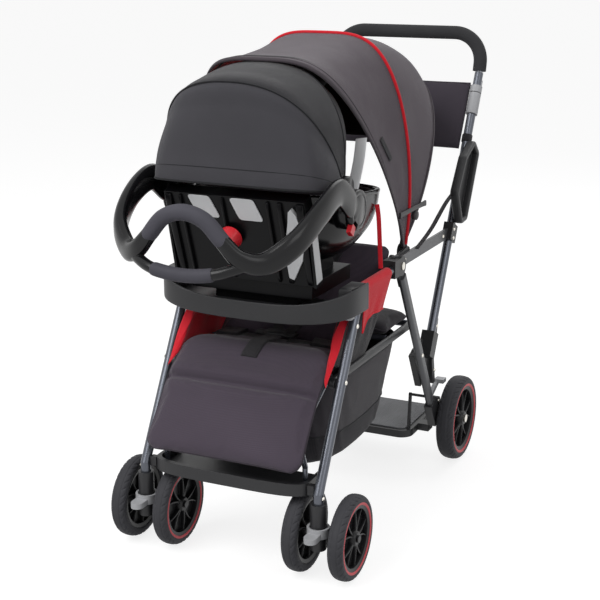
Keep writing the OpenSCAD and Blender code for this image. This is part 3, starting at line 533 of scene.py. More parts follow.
class Finishes:
    """All finishes of the stroller, named for where they are."""

    tube = Moulded("gunmetal_tube", "5a5d65", 0.28, Grain.BRUSHED, 0.75, 0.2, 1.5, 0.15)
    leg = Moulded("matt_leg", "545558", 0.4, Grain.SATIN, 0.3, 0.0, 1.5, 0.2)
    black = Moulded("black_moulding", "29292b", 0.45, Grain.SATIN, 0.0, 0.0, 1.5, 0.25, 0.4)
    # Near-black for the carrier's base, ribs and wings: painted shade, darker than the other black mouldings
    # because that panel lies in the hood's shadow.
    panel = Moulded("panel_black_painted_shade", "0c0c0e", 0.3, Grain.SATIN, 0.0, 0.0, 1.5, 0.2, 0.12)
    gloss = Moulded("gloss_moulding", "111113", 0.22, Grain.GLOSS, 0.0, 0.0, 1.5, 0.1, 0.3)
    rail = Moulded("dark_rail", "2c2d2f", 0.4, Grain.SATIN, 0.2, 0.0, 1.5, 0.2)
    light = Moulded("light_grey_plastic", "b6b7ba", 0.45, Grain.SATIN, 0.0, 0.0, 1.2, 0.2)
    step = Moulded("step_grey", "77787b", 0.7, Grain.TREAD, 0.0, 0.0, 1.0, 0.2)
    steel = Moulded("bright_steel", "d9d5cc", 0.22, Grain.BRUSHED, 1.0, 0.0, 0.8, 0.0)
    tyre = Moulded("tyre_rubber", "414145", 0.72, Grain.SATIN, 0.0, 0.0, 0.6, 0.25, 0.3)
    rim = Moulded("wheel_black", "161618", 0.4, Grain.SATIN, 0.0, 0.0, 0.8, 0.2, 0.3)
    ring = Moulded("wheel_ring_red", "d4424c", 0.5, Grain.SATIN, 0.0, 0.0, 0.5, 0.1)
    foam = Moulded("grip_foam", "3a3a3c", 0.95, Grain.CELLS, 0.0, 0.0, 1.0, 0.0, 0.3)
    grip = Moulded("grip_rubber", "4c4b53", 0.7, Grain.SATIN, 0.0, 0.0, 1.0, 0.15, 0.3)
    red_plastic = Moulded("red_moulding", "e0202e", 0.35, Grain.GLOSS, 0.0, 0.2, 1.5, 0.1)
    plate = Moulded("bare_plate", "d7d8da", 0.5, Grain.SATIN, 0.0, 0.0, 0.4, 0.1)
    stay = Moulded("white_stay", "e9eaec", 0.4, Grain.SATIN, 0.0, 0.0, 1.0, 0.1)
    taupe = Woven("taupe_canvas", "554c54")
    hem = Woven("taupe_hem", "4b444a", 1.2)
    lining = Woven("red_lining", "dc2030")
    red = Woven("red_canvas", "f22838")
    charcoal = Woven("charcoal_canvas", "49484d")
    # The carrier hood's charcoal painted darker for its top and second panel: painted shade against the
    # stronger light that falls on the top.
    charcoal_painted_shade_top = Woven("charcoal_painted_shade_top", "2a292d")
    # Near-black for the inside of the hood's rear panel and its flap: painted shade inside the hood.
    dark_lining = Woven("dark_lining", "1a181b")
    side = Woven("side_charcoal", "2c2b2e")
    bag = Woven("bag_canvas", "3a373c")
    pocket = Woven("pocket_canvas", "453f48")
    net = Woven("bag_net", "353338", 3.4, 0.15, 0.9, 0.5, True, True)
    binding = Woven("dark_binding", "242427", 1.0, 0.15)
    webbing = Woven("harness_webbing", "2b292d", 1.3, 0.2, 0.75, 0.6)
    piping = Woven("red_piping", "ec2434", 1.0, 0.2)
    plum = Woven("plum_cover", "514854", 1.6, 0.3, 0.85, 0.35, False)
    plum_edge = Woven("plum_edge", "3a343c", 1.0, 0.2)
    dark_cover = Woven("dark_cover", "333035", 1.6, 0.25, 0.85, 0.35, False)


def seat_piece(piece: bpy.types.Object, body: str,
               replaced: Iterable[str] = ()) -> bpy.types.Object:
    """Rides a piece on a body and what it stands for, and reports it.

    Args:
        piece: The finished piece.
        body: Name of the body that carries it.
        replaced: CAD nodes that the piece stands for.
    Returns:
        The piece.
    """
    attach(piece, body)
    if replaced:
        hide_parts(*replaced)
    LOG.info("%s rides on %s", piece.name, body)
    return piece


def trim(name: str, points: Array, finish: Finish, body: str) -> bpy.types.Object:
    """Makes a sewn edge, cord or strap from a swept section.

    Args:
        name: Name of the piece.
        points: Grid of the swept section.
        finish: The cloth's finish.
        body: Name of the body that carries it.
    Returns:
        The piece.
    """
    piece = Surface().bar(points).build(name, (finish,), outward=True)
    return seat_piece(piece, body)


def plump(piece: bpy.types.Object, cap: float, voxel: float = 5.5) -> None:
    """Swells a stuffed piece: voxel remesh, 20 frames of cloth under pressure, and a cap on the movement.

    Args:
        piece: A closed form, a little smaller than the stuffed piece.
        cap: The furthest that a point may move, in millimetres.
        voxel: Size of the remesh in millimetres.
    """
    remesh = piece.modifiers.new("voxels", "REMESH")
    remesh.mode = "VOXEL"
    remesh.voxel_size = voxel * MM
    remesh.use_smooth_shade = True
    bake(piece)
    start = coordinates(piece.data)
    cloth = piece.modifiers.new("stuffing", "CLOTH")
    cloth.settings.quality = 4
    cloth.settings.mass = 0.3
    cloth.settings.use_pressure = True
    cloth.settings.uniform_pressure_force = 4.0
    cloth.settings.effector_weights.gravity = 0.0
    for number in range(1, STUFFING_FRAMES + 1):
        bpy.context.scene.frame_set(number)
    bake(piece)
    bpy.context.scene.frame_set(1)
    move = coordinates(piece.data) - start
    far = np.linalg.norm(move, axis=1, keepdims=True)
    move *= np.minimum(1.0, cap * MM / np.maximum(far, 1e-9))
    piece.data.vertices.foreach_set("co", (start + move).astype(np.float32).ravel())
    piece.data.update()
    subdivide(piece)


def bake(piece: bpy.types.Object) -> None:
    """Replaces a piece's mesh by what its modifiers make of it, and takes them off."""
    bpy.context.view_layer.update()
    seen = piece.evaluated_get(bpy.context.evaluated_depsgraph_get())
    mesh = bpy.data.meshes.new_from_object(seen)
    mesh.name = piece.name
    piece.modifiers.clear()
    piece.data = mesh
    mesh.shade_smooth()


def coordinates(mesh: bpy.types.Mesh) -> Array:
    """A mesh's points in metres, one row each."""
    flat = np.empty(3 * len(mesh.vertices), np.float32)
    mesh.vertices.foreach_get("co", flat)
    return flat.reshape(-1, 3).astype(float)


def shift(piece: bpy.types.Object, move: Array) -> None:
    """Moves each of a mesh's points by a row of millimetres."""
    piece.data.vertices.foreach_set("co", (coordinates(piece.data) + move * MM).astype(np.float32).ravel())
    piece.data.update()


@dataclass
class Studio:
    """Pale floor, soft lamps and the camera."""

    place: tuple[float, float, float] = (1.2016, -2.6684, 1.2828)
    azimuth: float = 24.9
    elevation: float = 15.42
    lens: float = 78.0
    sensor: float = 36.0
    lamps: tuple = (((-1.4, -3.0, 3.4), 2.6, 92.0),
                    ((3.2, -1.8, 2.4), 2.2, 26.0),
                    ((0.4, 2.6, 3.0), 2.4, 30.0))
    aim: tuple[float, float, float] = (0.0, 0.0, 0.5)
    fill: float = 0.36
    floor_half: float = 30000.0
    floor_drop: float = 0.5
    floor_grey: float = 0.4
    floor_glow: float = 0.8

    def build(self) -> None:
        """Makes the camera, the lamps, the sky and the floor."""
        camera = bpy.data.objects.new("camera", bpy.data.cameras.new("camera"))
        camera.data.lens = self.lens
        camera.data.sensor_width = self.sensor
        camera.location = self.place
        camera.rotation_euler = (math.radians(90 - self.elevation), 0, math.radians(self.azimuth))
        bpy.context.scene.collection.objects.link(camera)
        bpy.context.scene.camera = camera
        bpy.context.scene.view_settings.view_transform = "Standard"
        for number, (place, size, power) in enumerate(self.lamps):
            self.lamp(number, place, size, power)
        self.sky()
        self.floor()

    def lamp(self, number: int, place: tuple, size: float, power: float) -> None:
        """Adds a square lamp that looks at the middle of the stroller."""
        light = bpy.data.lights.new(f"lamp_{number}", "AREA")
        light.energy = power
        light.size = size
        lamp = bpy.data.objects.new(light.name, light)
        lamp.location = place
        back = np.array(place) - np.array(self.aim)
        turn = math.atan2(back[0], -back[1])
        lamp.rotation_euler = (math.atan2(float(np.hypot(back[0], back[1])), back[2]), 0, turn)
        bpy.context.scene.collection.objects.link(lamp)

    @staticmethod
    def seen(tree: bpy.types.NodeTree) -> bpy.types.NodeSocket:
        """One for rays from the camera and for reflections, and zero for light on the object."""
        path = tree.nodes.new("ShaderNodeLightPath")
        total = path.outputs["Is Camera Ray"]
        for name in ("Is Glossy Ray", "Is Transmission Ray"):
            most = tree.nodes.new("ShaderNodeMath")
            most.operation = "MAXIMUM"
            tree.links.new(total, most.inputs[0])
            tree.links.new(path.outputs[name], most.inputs[1])
            total = most.outputs[0]
        return total

    def sky(self) -> None:
        """White where it is seen, and softer where it lights the object."""
        world = bpy.data.worlds.new("sky")
        bpy.context.scene.world = world
        world.use_nodes = True
        tree = world.node_tree
        back = tree.nodes["Background"]
        level = tree.nodes.new("ShaderNodeMapRange")
        level.inputs[3].default_value = self.fill
        level.inputs[4].default_value = 1.0
        tree.links.new(self.seen(tree), level.inputs[0])
        back.inputs[0].default_value = (1, 1, 1, 1)
        tree.links.new(level.outputs[0], back.inputs[1])

    def floor(self) -> None:
        """A wide pale floor that is white where it is lit and keeps the shadow."""
        line = np.array([-self.floor_half, self.floor_half])
        y, x = np.meshgrid(line, line, indexing="ij")
        mesh = bpy.data.meshes.new("floor")
        points = np.stack([x, y, np.full_like(x, -self.floor_drop)], -1).reshape(-1, 3) * MM
        mesh.from_pydata(points.tolist(), [], [[0, 1, 3, 2]])
        shader = Shader("pale_floor")
        grey = (self.floor_grey, self.floor_grey, self.floor_grey, 1.0)
        shader.sets(Base_Color=grey, Roughness=0.9, Specular_IOR_Level=0.0, Emission_Color=(1, 1, 1, 1))
        glow = shader.maths("MULTIPLY", self.seen(shader.tree), self.floor_glow)
        shader.sets(Emission_Strength=glow)
        mesh.materials.append(shader.material)
        floor = bpy.data.objects.new("floor", mesh)
        bpy.context.scene.collection.objects.link(floor)


@dataclass
class Frame:
    """CAD nodes whose shapes stay, with the finish of each."""

    tubes: tuple = ("front_legs", "calf_frame", "cross_tubes", "armrests", "handle_tubes", "handle_bow")
    legs: tuple = ("rear_leg_r", "rear_leg_l", "upper_links")
    blacks: tuple = ("caster_sockets", "footrest", "hub_housings", "link_clamps", "lower_brackets",
                     "axle_housings", "platform", "caster_fork_r", "caster_fork_l")
    lights: tuple = ("tray_tab_r", "tray_tab_l", "fold_collars", "fold_lever_r", "fold_lever_l",
                     "brake_lever_r", "brake_lever_l", "swivel_lock_r", "swivel_lock_l")
    steels: tuple = ("hub_pins", "rear_axles")
    reds: tuple = ("carry_button_r", "carry_button_l", "base_knob")

    def dress(self) -> None:
        """Gives each node its finish."""
        rows = ((self.tubes, Finishes.tube), (self.legs, Finishes.leg), (self.blacks, Finishes.black),
                (self.lights, Finishes.light), (self.steels, Finishes.steel),
                (self.reds, Finishes.red_plastic), (("foam_grip",), Finishes.foam),
                (("platform_tread",), Finishes.step), (("lower_rails",), Finishes.rail),
                (("carrier_base",), Finishes.panel))
        for names, finish in rows:
            for name in names:
                self.paint(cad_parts[name], finish)

    @staticmethod
    def paint(node: bpy.types.Object, finish: Finish) -> None:
        """Puts a finish in all of a node's material slots."""
        if not node.material_slots:
            node.data.materials.append(finish.material())
        for slot in node.material_slots:
            slot.material = finish.material()
        LOG.info("%s keeps its shape as %s", node.name, finish.name)


@dataclass
class Canopy:
    """A folding hood: superellipse bows that lean about one pivot, with cloth between them.

    A bow is an angle, a crown radius, a half width and a power. The bulge is how far the sides swell out
    between the foot and the crown.
    """

    pivot: tuple[float, float]
    base: float
    bows: tuple
    bulge: float = 0.0

    def sizes(self, angle: Array) -> tuple[Array, Array, Array]:
        """Radius, half width and power at each angle, on smooth curves through the bows."""
        curve = smooth_route(sorted(self.bows), 12)
        radius, wide, power = (np.interp(angle, curve[:, 0], curve[:, k]) for k in (1, 2, 3))
        return radius, wide, power

    def bow(self, angle: Array, turn: Array, drop: Array) -> Array:
        """Points of bows.

        The height over the pivot runs from the base to the crown with the power of sine. Across is minus
        the half width, with a half sine of the height's share for the bulge, times the power of cosine.

        Args:
            angle: Lean of each point's bow towards the front, in degrees.
            turn: Place of each point round its bow, from 0 to pi.
            drop: How far each point lies inside the bow, in millimetres.
        Returns:
            Points in millimetres.
        """
        radius, wide, power = self.sizes(angle)
        share = np.maximum(0.0, np.sin(turn)) ** (2 / power)
        high = self.base + (radius - drop - self.base) * share
        swell = self.bulge * np.sin(np.pi * share ** 0.8)
        across = -(wide - drop + swell) * spow(np.cos(turn), 2 / power)
        tilt = np.radians(angle)
        y = self.pivot[0] - high * np.sin(tilt)
        return np.stack([across, y, self.pivot[1] + high * np.cos(tilt)], -1)

    def side(self, y: Array, z: Array, out: float) -> Array:
        """Points on the right side of the cloth at places of the upright plane, moved out from it."""
        angle = np.degrees(np.arctan2(self.pivot[0] - y, z - self.pivot[1]))
        radius, _, power = self.sizes(angle)
        share = (np.hypot(y - self.pivot[0], z - self.pivot[1]) - self.base) / (radius - self.base)
        turn = np.pi - np.arcsin(np.clip(share, 0, 1) ** (power / 2))
        across = self.bow(angle, turn, np.zeros_like(angle))[..., 0]
        return np.stack([across + out, y, z], -1)

    def panel(self, start: float, stop: float, sag: float, ripple: float, rows: int = 40,
              columns: int = 120) -> Array:
        """Cloth from one angle to another.

        It sinks by a half sine between its edges and ripples with a few crossed sines that fade at the edges.

        Args:
            start: Angle of the first edge in degrees.
            stop: Angle of the last edge.
            sag: Depth of the sinking in millimetres.
            ripple: Depth of the ripples in millimetres.
            rows: Number of bows of the grid.
            columns: Number of points on a bow.
        Returns:
            Grid of points.
        """
        share, turn = np.meshgrid(np.linspace(0, 1, rows), np.linspace(0, np.pi, columns), indexing="ij")
        inside = np.sin(np.pi * share)
        folds = np.sin(7 * turn + 3 * share) * np.sin(4 * share + 2.3 * turn)
        folds += 0.6 * np.sin(13 * turn - 5 * share)
        low = np.abs(np.cos(turn)) ** 2
        drop = inside * (sag * np.sin(turn) ** 0.5 + ripple * (0.5 + 0.5 * folds * (0.4 + low)))
        return self.bow(start + (stop - start) * share, turn, drop)

    def edge(self, angle: float, section: Array, drop: float = 0.0, count: int = 160) -> Array:
        """A cord or strip along a bow: a section carried along the bow at one angle."""
        path = self.bow(np.full(count, angle), np.linspace(0, np.pi, count), np.full(count, drop))
        tilt = math.radians(angle)
        return sweep(path, section, (0.0, math.cos(tilt), math.sin(tilt)))


@dataclass
class StrollerHood:
    """The stroller's hood in two panels with red lining, red piping, hems, a side clip and a bare tag.

    Its sides stand out beside the handle's tubes.
    """

    front: Canopy
    rear: Canopy
    sag: float = 3.0
    cloth: float = 2.4
    drawn_in: float = 0.915
    ripple: float = 2.2
    front_span: tuple[float, float] = (39.5, 7.0)
    rear_span: tuple[float, float] = (10.0, -38.0)
    rib_size: tuple[float, float] = (2.4, 10.0)
    rib_gap: float = 1.4
    front_rib: float = 36.8
    rear_rib: float = 2.0
    flap_angle: float = -36.6
    flap_drop: float = 190.0
    clip_z: float = 690.0
    clip_ends: tuple[float, float] = (18.0, 184.0)
    clip_button: tuple[float, float] = (123.0, 672.0)
    front_pivot: tuple = ((0.01, 168.0), (3.9, 168.0), (3.9, 179.0), (17.0, 179.0), (17.0, 186.0),
                          (3.9, 186.0), (3.9, 192.0), (0.01, 192.0))
    rear_pivot: tuple = ((4.4, 171.0), (17.0, 171.0), (17.0, 177.5), (4.4, 177.5))

    def build(self) -> None:
        """Makes both panels and what is sewn on them."""
        front, rear = (self.front, "hood_front_half"), (self.rear, "chassis")
        self.rib("hood_front_rib", *front, self.front_rib, "hood_front_bow", self.front_pivot)
        self.rib("hood_rear_rib", *rear, self.rear_rib, "hood_rear_bow", self.rear_pivot)
        self.cover("hood_front_cover", *front, self.front_span, Finishes.lining, "hood_front",
                   "hood_front_rib")
        # The rear panel's inner side is near-black: painted shade inside the hood.
        self.cover("hood_rear_cover", *rear, self.rear_span, Finishes.dark_lining, "hood_rear",
                   "hood_rear_rib")
        self.flap()
        cord, thread, fold = oval(8.0, 8.0, 14), oval(1.8, 1.8, 8), oval(5.0, 9.0, 14, 3.0)
        rows = (("hood_piping", front, 7.5, cord, -1.4, Finishes.piping, "red_cloth"),
                ("hood_front_hem", front, 39.1, fold, 0.0, Finishes.hem, "taupe_cloth"),
                ("hood_front_stitch", front, 37.3, thread, 0.6, Finishes.hem, "taupe_cloth"),
                ("hood_rear_hem", rear, -37.7, fold, 0.0, Finishes.hem, "taupe_cloth"),
                ("hood_rear_stitch", rear, -35.6, thread, 0.6, Finishes.hem, "taupe_cloth"))
        for name, (canopy, body), angle, section, drop, finish, slot in rows:
            self.draw_in(trim(name, canopy.edge(angle, section, drop), finish, body))
        self.tag()
        self.clips()

    def draw_in(self, piece: bpy.types.Object) -> None:
        """Gives a piece of the hood its own copy of its mesh."""
        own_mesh(piece)

    def rib(self, name: str, canopy: Canopy, body: str, angle: float, node: str, pivot: tuple) -> None:
        """Makes a flat bow inside the cloth, with a turned disc and pin at each pivot.

        Args:
            name: Name of the piece.
            canopy: The hood that it carries.
            body: Name of the body that carries it.
            angle: Its lean towards the front in degrees.
            node: CAD node that it stands for.
            pivot: Radius and place across of the disc's profile.
        """
        surface = Surface()
        strip = canopy.edge(angle, oval(*self.rib_size, 16, 4.0), self.cloth + self.rib_gap)
        surface.bar(strip)
        for way in WAYS:
            surface.grid(spin(pivot, (0, *canopy.pivot), 48, way), wrap_u=True, wrap_v=pivot[0][0] > 1)
        piece = surface.build(name, (Finishes.black,), outward=True)
        self.draw_in(seat_piece(piece, body, [node]))

    def flap(self) -> None:
        """Cloth that hangs in the rear opening, near-black as painted shade: straight columns from the rear
        bow to a level hem.
        """
        share, u = np.meshgrid(np.linspace(0, 1, 24), np.linspace(-0.985, 0.985, 80), indexing="ij")
        radius, wide, power = (float(row) for row in self.rear.sizes(np.array(self.flap_angle)))
        top = self.rear.base + (radius - self.rear.base) * (1 - np.abs(u) ** power) ** (1 / power) - 4.0
        hem = np.minimum(top - 30.0, radius - self.flap_drop)
        high = top + (hem - top) * share
        belly = 5.0 * np.sin(np.pi * share) * lump(u, 2)
        tilt = math.radians(self.flap_angle)
        y = self.rear.pivot[0] - high * math.sin(tilt) - belly
        points = np.stack([(wide - 5.0) * u, y, self.rear.pivot[1] + high * math.cos(tilt)], -1)
        piece = Surface().grid(points, centre=(0, 0, 900)).build("hood_back_flap", (Finishes.dark_lining,))
        solidify(piece, 1.6)
        seat_piece(piece, "chassis")
        self.draw_in(piece)

    def cover(self, name: str, canopy: Canopy, body: str, span: tuple[float, float], lining: Finish,
              node: str, bow: str) -> None:
        """Makes one panel as a sheet with a lining.

        Args:
            name: Name of the piece.
            canopy: The hood that it is part of.
            body: Name of the body that carries it.
            span: Angles of its edges in degrees.
            lining: Finish of its inner side.
            node: CAD node that it stands for.
            bow: Name of the bow that it rests on. Not used.
        """
        points = canopy.panel(*span, self.sag, self.ripple)
        surface = Surface().grid(points, centre=(0, canopy.pivot[0], canopy.pivot[1]))
        piece = surface.build(name, (Finishes.taupe, lining))
        solidify(piece, self.cloth, 1)
        seat_piece(piece, body, [node])
        self.draw_in(piece)

    def tag(self) -> None:
        """A bare dark tag sewn into the side of the front panel."""
        share, down = np.meshgrid(np.linspace(0, 1, 10), np.linspace(0, 1, 24), indexing="ij")
        y = -87.0 + 45.0 * down + 13.0 * share
        z = 873.0 - 52.0 * down + 7.0 * share
        points = self.front.side(y, z, 1.3)
        surface = Surface().grid(points, centre=(0, self.front.pivot[0], self.front.pivot[1]))
        piece = surface.build("hood_side_tag", (Finishes.binding,))
        solidify(piece, 0.9)
        self.draw_in(seat_piece(piece, "hood_front_half"))

    def clips(self) -> None:
        """A clip bar with a round button across each side of the hood, over the piping."""
        surface = Surface()
        y = np.linspace(*self.clip_ends, 24)
        bar = self.front.side(y, np.full(24, self.clip_z), 4.0)
        section = oval(11.0, 6.0, 24, 3.5)
        swell = np.stack([1.0 + 0.25 * np.abs(np.linspace(-1, 1, 24)) ** 6, np.ones(24)], 1)
        centre = self.front.side(*(np.array([place]) for place in self.clip_button), 0.0)[0]
        button = [(0.01, 11.0), (9.0, 10.6), (11.0, 9.0), (11.5, 4.0), (11.5, 0.0)]
        for way in WAYS:
            strip = sweep(bar * (way, 1.0, 1.0), section, (way, 0.0, 0.001), swell)
            surface.bar(strip)
            surface.grid(spin(button, centre * (way, 1.0, 1.0), 32, way), wrap_u=True)
        piece = surface.build("hood_side_clips", (Finishes.black,), outward=True)
        self.draw_in(seat_piece(piece, "chassis"))


@dataclass
class Wheel:
    """A wheel about X: treaded tyre, black rim with five split spokes, and a thin red ring outside."""

    name: str
    radius: float
    width: float
    inner: tuple[float, float, float]
    way: float
    bore: float
    blocks: int
    pairs: int = 5
    groove: float = 1.3

    def build(self) -> None:
        """Makes the tyre, and the rim with its spokes, hub and ring."""
        seat_piece(self.tyre(), self.name, [self.name])
        seat_piece(self.rim(), self.name)

    def tyre(self) -> bpy.types.Object:
        """The tyre as a superellipse section turned about the axle.

        Grooves are cut where the place round the wheel, skewed by the square of the place across, is near
        a block's edge on the shoulders, and along two lines beside the crown.
        """
        r, w = self.radius, self.width
        high = 0.125 * r
        around, across = np.meshgrid(np.arange(360) / 360, np.arange(56) / 56, indexing="ij")
        phi = 2 * np.pi * across
        wave = np.abs((around * self.blocks + 0.9 * np.cos(phi) ** 2) % 1 - 0.5)
        shoulder = (np.sin(phi) > 0.25) & (np.abs(np.cos(phi)) > 0.42)
        lines = (np.sin(phi) > 0.5) & (np.abs(np.abs(np.cos(phi)) - 0.3) < 0.06)
        cut = np.where(shoulder, np.clip((0.12 - wave) / 0.06, 0, 1), 0.0) + np.where(lines, 0.8, 0.0)
        grow = 1.0 - np.minimum(cut, 1.0) * self.groove / high
        rad = r - high + high * spow(np.sin(phi), 2 / 2.5) * np.where(np.sin(phi) > 0, grow, 1.0)
        x = w / 2 + (w / 2) * spow(np.cos(phi), 2 / 2.5) * grow
        t = 2 * np.pi * around
        points = np.asarray(self.inner) + np.stack([self.way * x, rad * np.cos(t), rad * np.sin(t)], -1)
        surface = Surface().ring(points)
        return surface.build(self.name + "_tyre", (Finishes.tyre,), outward=True)

    def rim(self) -> bpy.types.Object:
        """Rim barrel, web, hub and ring as turned profiles, and ten tapered spokes in five pairs."""
        r, w = self.radius, self.width
        surface = Surface()
        barrel = [(0.69 * r, 0.12 * w), (0.775 * r, 0.05 * w), (0.8 * r, 0.1 * w), (0.8 * r, 0.9 * w),
                  (0.775 * r, 0.95 * w), (0.69 * r, 0.88 * w), (0.675 * r, 0.6 * w), (0.675 * r, 0.4 * w)]
        web = [(0.15 * r, 0.46 * w), (0.69 * r, 0.46 * w), (0.69 * r, 0.54 * w), (0.15 * r, 0.54 * w)]
        hub = [(self.bore, 0.02 * w), (0.15 * r, 0.02 * w), (0.17 * r, 0.07 * w), (0.2 * r, 0.3 * w),
               (0.2 * r, 0.7 * w), (0.17 * r, 0.93 * w), (0.15 * r, 0.98 * w), (self.bore, 0.98 * w)]
        for profile, count in ((barrel, 96), (web, 64), (hub, 64)):
            surface.ring(spin(profile, self.inner, count, self.way))
        for k in range(self.pairs):
            for lean in WAYS:
                surface.bar(self.spoke(2 * math.pi * k / self.pairs, lean))
        band = [(0.772 * r, 0.95 * w), (0.785 * r, 0.985 * w), (0.81 * r, 1.0 * w), (0.835 * r, 0.985 * w),
                (0.83 * r, 0.93 * w)]
        surface.grid(spin(band, self.inner, 120, self.way), wrap_u=True, wrap_v=True, slot=1)
        return surface.build(self.name + "_rim", (Finishes.rim, Finishes.ring), True, 35.0)

    def spoke(self, turn: float, lean: float) -> Array:
        """One spoke of a pair: a rounded bar from the hub out to the rim, leaning away from its fellow."""
        r, w = self.radius, self.width
        share = np.linspace(0, 1, 10)
        rad = r * (0.17 + 0.52 * share)
        angle = turn + lean * (0.1 + 0.2 * share ** 1.3)
        path = np.asarray(self.inner) + np.stack(
            [np.full(10, self.way * w / 2), rad * np.cos(angle), rad * np.sin(angle)], -1)
        scale = np.stack([1 - 0.35 * share, 1 - 0.15 * share], 1)
        return sweep(path, oval(0.062 * r, 0.72 * w, 16, 4.0), (1.0, 0.0, 0.0), scale)


@dataclass
class Pad:
    """A stuffed pad on a path of stations in the upright plane, crowned over a flat rest.

    A channel is along or across, its place from -1 to 1, its depth and its width. The corners are the
    radii at the path's start and end.
    """

    name: str
    path: tuple
    half_width: float
    edge: float
    crown: float
    pull: float = 0.03
    channels: tuple = ()
    corners: tuple[float, float] = (14.0, 14.0)

    def line(self, count: int) -> tuple[Array, Array]:
        """Stations spread evenly along the path, and the unit normal of each."""
        curve = smooth_route(self.path, 16)
        length = np.concatenate([[0], np.cumsum(np.linalg.norm(np.diff(curve, axis=0), axis=1))])
        at = np.linspace(0, length[-1], count)
        points = np.stack([np.interp(at, length, curve[:, k]) for k in (0, 1)], 1)
        way = np.gradient(points, axis=0)
        way /= np.linalg.norm(way, axis=1, keepdims=True)
        return points, np.stack([way[:, 1], -way[:, 0]], 1)

    def length(self) -> float:
        """Length of the path."""
        line, _ = self.line(PAD_STATIONS)
        return float(np.linalg.norm(np.diff(line, axis=0), axis=1).sum())

    def reach(self, v: Array) -> Array:
        """Half width at each v: the sides pull in between the ends, and the corners are quarter circles."""
        corner = np.where(v < 0, *self.corners)
        gap = np.clip(1 - (1 - np.abs(v)) / 2 * self.length() / corner, 0, 1)
        return self.half_width * (1 - self.pull * lump(v, 2)) - corner * (1 - np.sqrt(1 - gap ** 2))

    def station(self, v: Array) -> tuple[Array, Array]:
        """Place on the path and unit normal at each v."""
        k = (np.clip(v, -1, 1) + 1) / 2 * (PAD_STATIONS - 1)
        place, out = (np.stack([np.interp(k, np.arange(PAD_STATIONS), row[:, c]) for c in (0, 1)], -1)
                      for row in self.line(PAD_STATIONS))
        return place, out

    def top(self, u: Array, v: Array, lift: float = 0.0) -> Array:
        """Points on the crowned face: across by u from -1 to 1, along by v from -1 to 1.

        The height is half the edge plus the crown times a lump across and a lump along.
        """
        place, out = self.station(v)
        high = (self.edge / 2 + lift + self.crown * lump(u, 3) * lump(v, 3))[..., None]
        return np.concatenate([(u * self.reach(v))[..., None], place + out * high], -1)

    def stuffed(self, finish: Finish, inset: float = 3.0, cap: float = 6.0) -> bpy.types.Object:
        """The pad as a closed form, swollen by a simulation, with its channels pressed in after it."""
        share = np.linspace(-1, 1, 41)
        v, u = np.meshgrid(share * PAD_REACH, share, indexing="ij")
        deep = self.edge - inset
        inner = replace(self, half_width=self.half_width - inset)
        upper = replace(inner, edge=deep, crown=self.crown - inset).top(u, v)
        lower = replace(inner, edge=-deep, crown=0.0).top(u, v)
        surface = Surface().grid(upper).grid(lower)
        for ends in ((upper[0], lower[0]), (upper[-1], lower[-1]), (upper[:, 0], lower[:, 0]),
                     (upper[:, -1], lower[:, -1])):
            surface.grid(np.stack(ends, 0))
        piece = surface.build(self.name, (finish,), outward=True)
        plump(piece, cap)
        self.press(piece)
        return piece

    def press(self, piece: bpy.types.Object) -> None:
        """Presses channels into the crowned face as bells round lines; a negative depth raises one."""
        if not self.channels:
            return
        line, normal = self.line(PAD_STATIONS)
        points = coordinates(piece.data) / MM
        near = np.argmin(np.linalg.norm(points[:, None, 1:] - line[None], axis=2), axis=1)
        high = np.sum((points[:, 1:] - line[near]) * normal[near], axis=1)
        u = points[:, 0] / self.half_width
        v = 2 * near / (PAD_STATIONS - 1) - 1.0
        depth = np.zeros(len(points))
        for kind, place, deep, wide in self.channels:
            gap = (u - place) * self.half_width if kind == "along" else (v - place) * 0.5 * self.length()
            depth += deep * np.exp(-(gap / wide) ** 2) * np.clip(high / self.edge, 0, 1)
        move = np.zeros_like(points)
        move[:, 1:] = -depth[:, None] * normal[near]
        shift(piece, move)

    def border(self, name: str, thick: float, finish: Finish, piece: bpy.types.Object) -> bpy.types.Object:
        """A piped edge round the pad's seam: up one side, across the end, down the other side and back.

        Each point goes to the nearest one of the stuffed pad, and the line is evened out by averages of five.

        Args:
            name: Name of the piped edge.
            thick: Its thickness.
            finish: Its finish.
            piece: The stuffed pad.
        Returns:
            The piped edge.
        """
        side = PAD_REACH * np.sin(np.linspace(-np.pi / 2, np.pi / 2, 120, endpoint=False))
        end = np.linspace(1, -1, 60, endpoint=False)
        u = np.concatenate([np.ones(120), end, -np.ones(120), -end])
        v = np.concatenate([side, np.full(60, PAD_REACH), -side, np.full(60, -PAD_REACH)])
        _, out = self.station(v)
        up = np.concatenate([np.zeros((len(v), 1)), out], 1)
        cover = coordinates(piece.data) / MM
        seam = self.top(u, v, -self.edge * 0.25)
        seam = np.array([cover[np.argmin(np.sum((cover - point) ** 2, axis=1))] for point in seam])
        for _ in range(2):
            seam = np.mean([np.roll(seam, k, axis=0) for k in (-2, -1, 0, 1, 2)], axis=0)
        rings = loop_sweep(seam, oval(thick, thick, 10), up)
        return Surface().ring(rings).build(name, (finish,), outward=True)


@dataclass
class Seat:
    """Front seat, calf pad, seat back and bench."""

    calf: Pad
    base: Pad
    back: Pad
    bench: Pad

    def build(self) -> None:
        """Makes the four pads and their piped edges."""
        rows = ((self.base, Finishes.plum, "chassis", "plum_cloth", 0.7),
                (self.calf, Finishes.plum, "chassis", "plum_cloth", 0.6),
                (self.back, Finishes.plum, "seat_back", "plum_cloth", 0.6),
                (self.bench, Finishes.dark_cover, "chassis", "charcoal_cloth", 0.7))
        for pad, finish, body, slot, fill in rows:
            piece = pad.stuffed(finish)
            seat_piece(piece, body, [pad.name.replace("_stuffed", "")])
            border = pad.border(pad.name.replace("_stuffed", "_piping"), 3.6, Finishes.plum_edge, piece)
            seat_piece(border, body)


